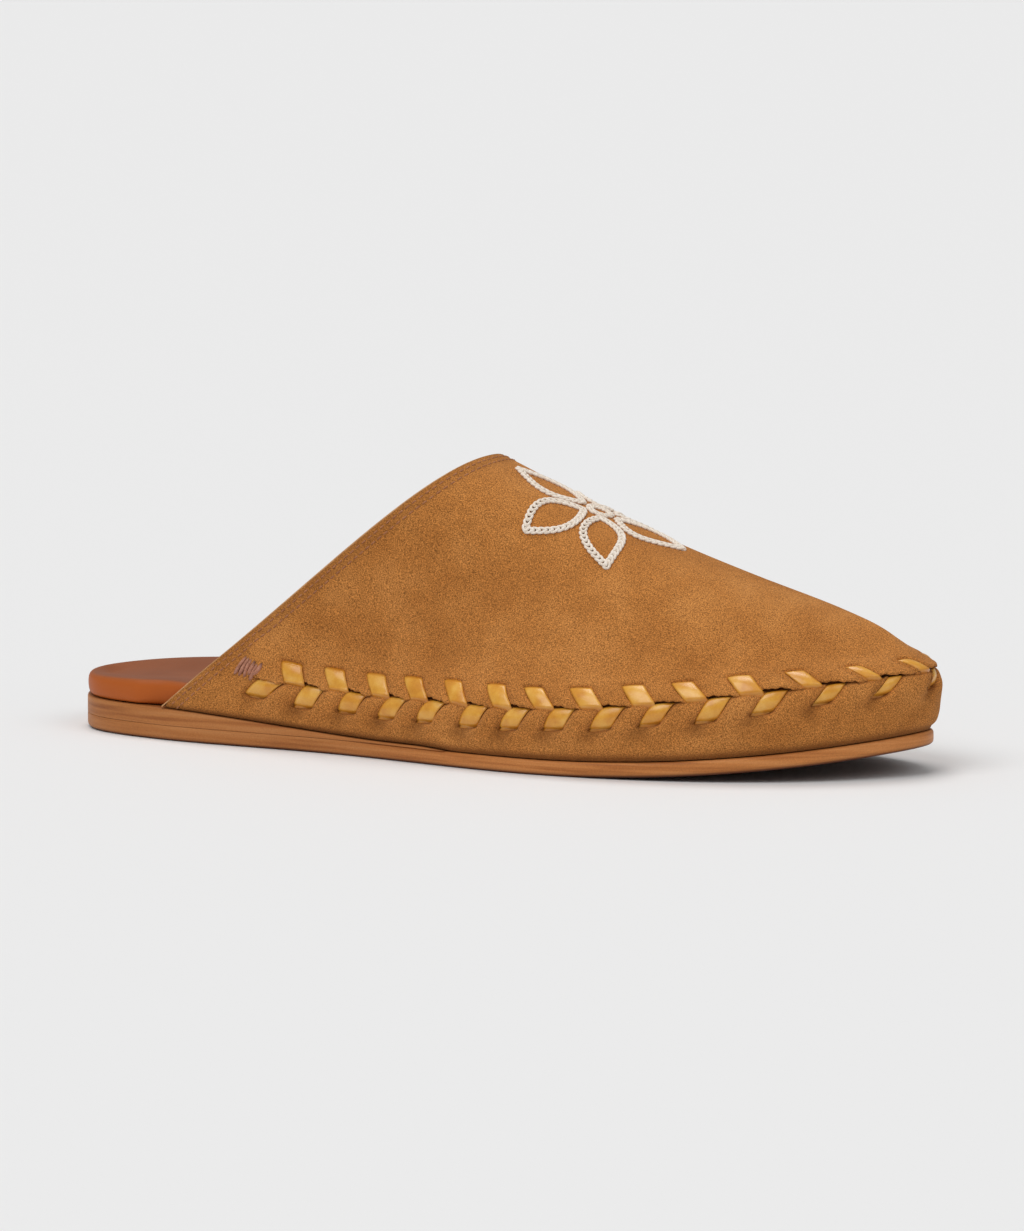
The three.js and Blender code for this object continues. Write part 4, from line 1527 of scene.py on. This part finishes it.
@dataclass
class Needlework:
    """Thread on the suede: topline stitching, bar tacks at the lacing's ends and the flower on the vamp."""

    form: Form
    shop: Workshop
    upper: SuedeUpper
    skin: bpy.types.Object
    stitch_pitch: float = 2.3
    stitch_length: float = 1.7
    stitch_radius: float = 0.26
    stitch_rise: float = 1.1
    stitch_sink: float = 0.9
    stitch_bow: float = 0.6
    stitch_end_girth: float = 0.6
    stitch_steps: int = 9
    hole_shade: float = 1.15
    thread_sides: int = 6
    row_steps: int = 400
    row_margin: float = 3.0
    row_offsets: tuple[float, float] = (1.4, 3.4)
    tack_start: float = 7.8
    tack_radius: float = 0.66
    tack_groups: int = 2
    tack_strands: int = 3
    tack_group_pitch: float = 4.2
    tack_strand_pitch: float = 1.32
    tack_foot: tuple[float, float] = (-1.5, -2.0)
    tack_head: tuple[float, float] = (1.2, 2.9)
    tack_foot_drop: float = 0.6
    tack_head_drop: float = 0.8
    tack_above: float = 4.0
    chain_pitch: float = 1.75
    chain_half_width: float = 0.74
    chain_radius: float = 0.42
    chain_steps: int = 16
    chain_reach: float = 0.72
    chain_taper: float = 0.55
    chain_lift: float = 0.9
    chain_tilt: float = 0.5
    chain_near: float = 0.4
    flower_middle: float = 157.5
    flower_span: float = 26.0
    petal_root: float = 5.6
    petal_length: float = 21.0
    petal_half_width: float = 5.6
    petal_count: int = 6
    petal_steps: int = 31
    petal_point: float = 0.85
    heart_radius: float = 3.0
    heart_steps: int = 61
    spread_steps: tuple[int, int] = (53, 105)
    above: float = 0.2
    tree: BVHTree = field(init=False)

    def __post_init__(self) -> None:
        """Indexes the skin, so that thread can be laid on it."""
        mesh = self.skin.data
        corners = [vertex.co for vertex in mesh.vertices]
        self.tree = BVHTree.FromPolygons(corners, [tuple(face.vertices) for face in mesh.polygons])

    def snap(self, points: Array) -> tuple[Array, Array]:
        """Nearest points of the suede.

        Args:
            points: points near it, in the form's millimetres.

        Returns:
            Points of the suede and the directions off it.
        """
        at, off = [], []
        for point in (points + self.shop.shift) * MM:
            place, normal, _, _ = self.tree.find_nearest(Vector(point))
            at.append(place)
            off.append(normal)
        return np.array(at) / MM - self.shop.shift, np.array(off)

    def drop(self, plan: Array) -> tuple[Array, Array]:
        """Points of the suede straight below points of its plan.

        Args:
            plan: points in plan, in the form's millimetres.

        Returns:
            Points of the suede and the directions off it.
        """
        at, off = [], []
        for x, y in (plan + self.shop.shift[:2]) * MM:
            place, normal, _, _ = self.tree.ray_cast(Vector((x, y, self.above)), Vector((0.0, 0.0, -1.0)))
            at.append(place)
            off.append(normal)
        return np.array(at) / MM - self.shop.shift, np.array(off)

    def tube(self, path: Array, off: Array, radius: Array, closed: bool,
             first: int) -> tuple[Array, list[list[int]]]:
        """A thread along a path.

        Args:
            path: points of the middle line.
            off: direction off the suede at each point.
            radius: radius at each point.
            closed: whether the path is a loop.
            first: number of the first vertex.

        Returns:
            Vertices and faces of the thread.
        """
        sides = self.thread_sides
        if closed:
            tangent = unit(np.roll(path, -1, 0) - np.roll(path, 1, 0))
        else:
            tangent = unit(np.gradient(path, axis=0))
        across = unit(np.cross(tangent, off))
        rise = np.cross(across, tangent)
        turn = np.linspace(0, 2 * np.pi, sides, endpoint=False)[None, :, None]
        ring = across[:, None] * np.cos(turn) + rise[:, None] * np.sin(turn)
        points = path[:, None] + ring * radius[:, None, None]
        count = len(path)
        faces = grid_faces(count, sides, first, closed=True)
        if closed:
            last = first + (count - 1) * sides
            following = [(k + 1) % sides for k in range(sides)]
            faces += [[last + k, last + n, first + n, first + k] for k, n in enumerate(following)]
        return points.reshape(-1, 3), faces

    def stitch(self, a: Array, b: Array, off: Array, radius: float,
               first: int) -> tuple[Array, list[list[int]], Array]:
        """One stitch that rises out of the suede at a and goes back in at b.

        Args:
            a: where it comes out.
            b: where it goes in.
            off: direction off the suede.
            radius: radius of the thread.
            first: number of the first vertex.

        Returns:
            Vertices, faces and the painted shade of each vertex, dark in the needle holes.
        """
        t = np.linspace(0.0, 1.0, self.stitch_steps)
        arch = np.sin(np.pi * t)
        rise = radius * (self.stitch_rise * arch**self.stitch_bow - self.stitch_sink)
        path = mix(a, b, t[:, None]) + off * rise[:, None]
        girth = radius * (self.stitch_end_girth + (1 - self.stitch_end_girth) * arch**0.5)
        points, faces = self.tube(path, np.repeat(off[None], len(t), 0), girth, False, first)
        # Painted shade in the needle holes at both ends.
        hole = np.clip(1.0 - self.hole_shade * arch**0.5, 0.0, 1.0)
        return points, faces, np.repeat(hole, self.thread_sides)

    def sew(self, name: str, thread: ThreadMesh, finish: LeatherFinish) -> None:
        """Makes a piece of the gathered threads."""
        self.shop.piece(name, np.concatenate(thread.points), thread.faces, finish, "upper",
                        np.concatenate(thread.shades))

    def topline_rows(self) -> None:
        """Two rows of small stitches along the topline."""
        at, _, back = self.upper.topline(self.row_steps)
        run = run_lengths(at)
        starts = np.arange(self.row_margin, run[-1] - self.row_margin, self.stitch_pitch)
        thread = ThreadMesh()
        for offset in self.row_offsets:
            ends = []
            for reach in (starts, starts + self.stitch_length):
                place = np.stack([np.interp(reach, run, column) for column in (at - back * offset).T], 1)
                ends.append(self.snap(place))
            for a, b, normal in zip(ends[0][0], ends[1][0], ends[0][1]):
                thread.add(*self.stitch(a, b, normal, self.stitch_radius, thread.total))
        self.sew("topline_stitches", thread, TOPLINE_THREAD)

    def tacks(self) -> None:
        """Bar tacks of thick thread where the lacing starts and ends."""
        thread = ThreadMesh()
        for side in Side:
            for k in range(self.tack_groups * self.tack_strands):
                group, strand = divmod(k, self.tack_strands)
                middle = self.tack_start + self.tack_group_pitch * group + self.tack_strand_pitch * strand
                lengths = np.array([middle + self.tack_foot[0], middle + self.tack_head[0]])
                heights = np.array([self.tack_foot[1] - self.tack_foot_drop * group,
                                    self.tack_head[1] - self.tack_head_drop * group])
                reach = lengths if side is Side.OUTER else self.form.seam_total - lengths
                laid, off = self.snap(self.form.beside_seam(reach, heights, np.full(2, self.tack_above)))
                thread.add(*self.stitch(laid[0], laid[1], off[0], self.tack_radius, thread.total))
        self.sew("bar_tacks", thread, ROSE_THREAD)

    def rosette(self) -> list[Array]:
        """Draws a flower flat: a ring and pointed petals round it.

        Returns:
            Lines of points, forward and across from the flower's middle.
        """
        turn = np.linspace(0.0, 2 * np.pi, self.heart_steps)
        lines = [self.heart_radius * np.stack([np.cos(turn), np.sin(turn)], 1)]
        out = np.linspace(0.0, 1.0, self.petal_steps)
        reach = np.concatenate([out, out[-2::-1]])
        side = np.where(np.arange(len(reach)) < self.petal_steps, 1.0, -1.0)
        for k in range(self.petal_count):
            lean = 2 * k * np.pi / self.petal_count
            ahead = np.array([math.cos(lean), math.sin(lean)])
            beside = np.array([-ahead[1], ahead[0]])
            width = side * self.petal_half_width * np.sin(np.pi * reach**self.petal_point)
            along = self.petal_root + self.petal_length * reach
            lines.append(ahead * along[:, None] + beside * width[:, None])
        return lines

    def spread(self, lines: Sequence[Array]) -> list[Array]:
        """Lays flat lines over the vamp, with their lengths down its sides kept.

        Args:
            lines: lines of points, forward and across from the flower's middle.

        Returns:
            The lines in plan.
        """
        ahead, across = (np.linspace(-self.flower_span, self.flower_span, n) for n in self.spread_steps)
        crest = through(RIDGE, self.flower_middle + ahead)[:, 1]
        plan = np.stack([np.repeat(self.flower_middle + ahead, len(across)),
                         (crest[:, None] + across[None, :]).ravel()], 1)
        height = self.drop(plan)[0][:, 2].reshape(len(ahead), len(across))
        run = np.hypot(np.diff(height, axis=1), np.diff(across))
        down = np.concatenate([np.zeros((len(ahead), 1)), np.cumsum(run, axis=1)], 1)
        down -= down[:, len(across) // 2][:, None]
        slope = np.gradient(height[:, len(across) // 2], ahead).mean()
        laid = []
        for line in lines:
            forward = line[:, 0] / math.hypot(1.0, slope)
            nearest = np.rint((forward - ahead[0]) / (ahead[1] - ahead[0])).astype(int)
            rows = np.clip(nearest, 0, len(ahead) - 1)
            beside = np.array([np.interp(v, down[row], across) for v, row in zip(line[:, 1], rows)])
            x = self.flower_middle + forward
            laid.append(np.stack([x, through(RIDGE, x)[:, 1] + beside], 1))
        return laid

    def embroidery(self) -> None:
        """The flower in chain stitch, laid on the vamp in front of the throat."""
        thread = ThreadMesh()
        turn = np.linspace(0.0, 2 * np.pi, self.chain_steps, endpoint=False)
        wide = self.chain_half_width * np.sin(turn) * (1 + self.chain_taper * np.cos(turn))
        lift = self.chain_radius * (self.chain_lift - self.chain_tilt * np.cos(turn))
        radius = np.full(self.chain_steps, self.chain_radius)
        for line in self.spread(self.rosette()):
            at, off = self.drop(line)
            run = run_lengths(at)
            links = max(2, round(run[-1] / self.chain_pitch))
            pitch = run[-1] / links
            long = self.chain_reach * pitch * np.cos(turn)
            for k in range(links):
                middle = (k + 0.5) * pitch
                reach = (middle - self.chain_near, middle, middle + self.chain_near)
                before, place, after = np.stack([np.interp(reach, run, column) for column in at.T], 1)
                normal = unit(np.array([np.interp(middle, run, column) for column in off.T]))
                ahead = unit(after - before)
                beside = unit(np.cross(normal, ahead))
                path = place + ahead * long[:, None] + beside * wide[:, None] + normal * lift[:, None]
                normals = np.repeat(normal[None], self.chain_steps, 0)
                made, sides = self.tube(path, normals, radius, True, thread.total)
                thread.add(made, sides, np.zeros(len(made)))
        self.sew("flower_embroidery", thread, CREAM_THREAD)

    def build(self) -> None:
        """Sews every thread."""
        self.topline_rows()
        self.tacks()
        self.embroidery()


@dataclass(frozen=True)
class SoftSun:
    """A wide distant light: its azimuth and elevation, its strength and the angle it fills, in degrees."""

    name: str
    azimuth: float
    elevation: float
    strength: float
    angle: float

    def hang(self) -> None:
        """Adds the light to the scene."""
        lamp = bpy.data.lights.new(self.name, "SUN")
        lamp.energy = self.strength
        lamp.angle = math.radians(self.angle)
        made = bpy.data.objects.new(self.name, lamp)
        made.rotation_euler = (-toward(self.azimuth, self.elevation)).to_track_quat("-Z", "Y").to_euler()
        bpy.context.scene.collection.objects.link(made)


def toward(azimuth: float, elevation: float) -> Vector:
    """Direction from the shoe toward an azimuth and elevation in degrees."""
    turn, tilt = math.radians(azimuth), math.radians(elevation)
    return Vector((math.sin(turn) * math.cos(tilt), -math.cos(turn) * math.cos(tilt), math.sin(tilt)))


@dataclass
class Studio:
    """Pale floor, soft light and the camera."""

    floor_reach: float = 14.0
    floor_tone: Colour = (0.84, 0.84, 0.84)
    floor_roughness: float = 0.9
    floor_specular: float = 0.1
    sky_strength: float = 0.29
    azimuth: float = 27.167
    elevation: float = 7.465
    distance: float = 3.0
    pixels_a_mm: float = 3.6
    image_height: int = 1231
    sensor: float = 36.0
    aim: tuple[float, float, float] = (0.0017, 0.0012, 0.0372)
    lights: tuple[SoftSun, ...] = (
        SoftSun("overhead", 215.0, 76.0, 0.98, 30.0),
        SoftSun("front", -12.0, 52.0, 1.2, 40.0),
        SoftSun("toe_side", 80.0, 42.0, 0.5, 44.0),
    )

    def floor(self) -> None:
        """A wide plain floor."""
        reach = self.floor_reach
        mesh = bpy.data.meshes.new("floor")
        corners = [(-reach, -reach, 0.0), (reach, -reach, 0.0), (reach, reach, 0.0), (-reach, reach, 0.0)]
        mesh.from_pydata(corners, [], [(0, 1, 2, 3)])
        made = bpy.data.materials.new("pale_floor")
        made.use_nodes = True
        shader = made.node_tree.nodes["Principled BSDF"]
        shader.inputs["Base Color"].default_value = (*self.floor_tone, 1.0)
        shader.inputs["Roughness"].default_value = self.floor_roughness
        shader.inputs["Specular IOR Level"].default_value = self.floor_specular
        mesh.materials.append(made)
        floor = bpy.data.objects.new("floor", mesh)
        bpy.context.scene.collection.objects.link(floor)

    def sky(self) -> None:
        """Even light from all round."""
        world = bpy.data.worlds.new("studio")
        world.use_nodes = True
        ground = world.node_tree.nodes["Background"]
        ground.inputs["Color"].default_value = (1.0, 1.0, 1.0, 1.0)
        ground.inputs["Strength"].default_value = self.sky_strength
        bpy.context.scene.world = world

    def camera(self) -> None:
        """The camera at the photograph's angle, framing the one shoe."""
        lens = bpy.data.cameras.new("camera")
        lens.sensor_width = self.sensor
        lens.lens = self.sensor * self.distance / (self.image_height / self.pixels_a_mm * MM)
        back = toward(self.azimuth, self.elevation)
        made = bpy.data.objects.new("camera", lens)
        made.location = Vector(self.aim) + back * self.distance
        made.rotation_euler = (-back).to_track_quat("-Z", "Y").to_euler()
        bpy.context.scene.collection.objects.link(made)
        bpy.context.scene.camera = made

    def build(self) -> None:
        """Sets up the floor, the light and the camera."""
        self.floor()
        self.sky()
        for light in self.lights:
            light.hang()
        bpy.context.scene.view_settings.view_transform = "Standard"
        self.camera()


def main() -> None:
    """Builds the shoe from the floor up, then the studio round it."""
    logging.basicConfig(level=logging.INFO, format="%(name)s %(message)s")
    form = Form(LastSizes())
    shop = Workshop(form)
    relief = SeamRelief(LacingPlan(form))
    SoleUnit(form, shop).build()
    upper = SuedeUpper(form, shop, relief)
    skin = upper.build()
    ThongLacing(form, shop, relief).build()
    Needlework(form, shop, upper, skin).build()
    Studio().build()


if __name__ == "__main__":
    main()
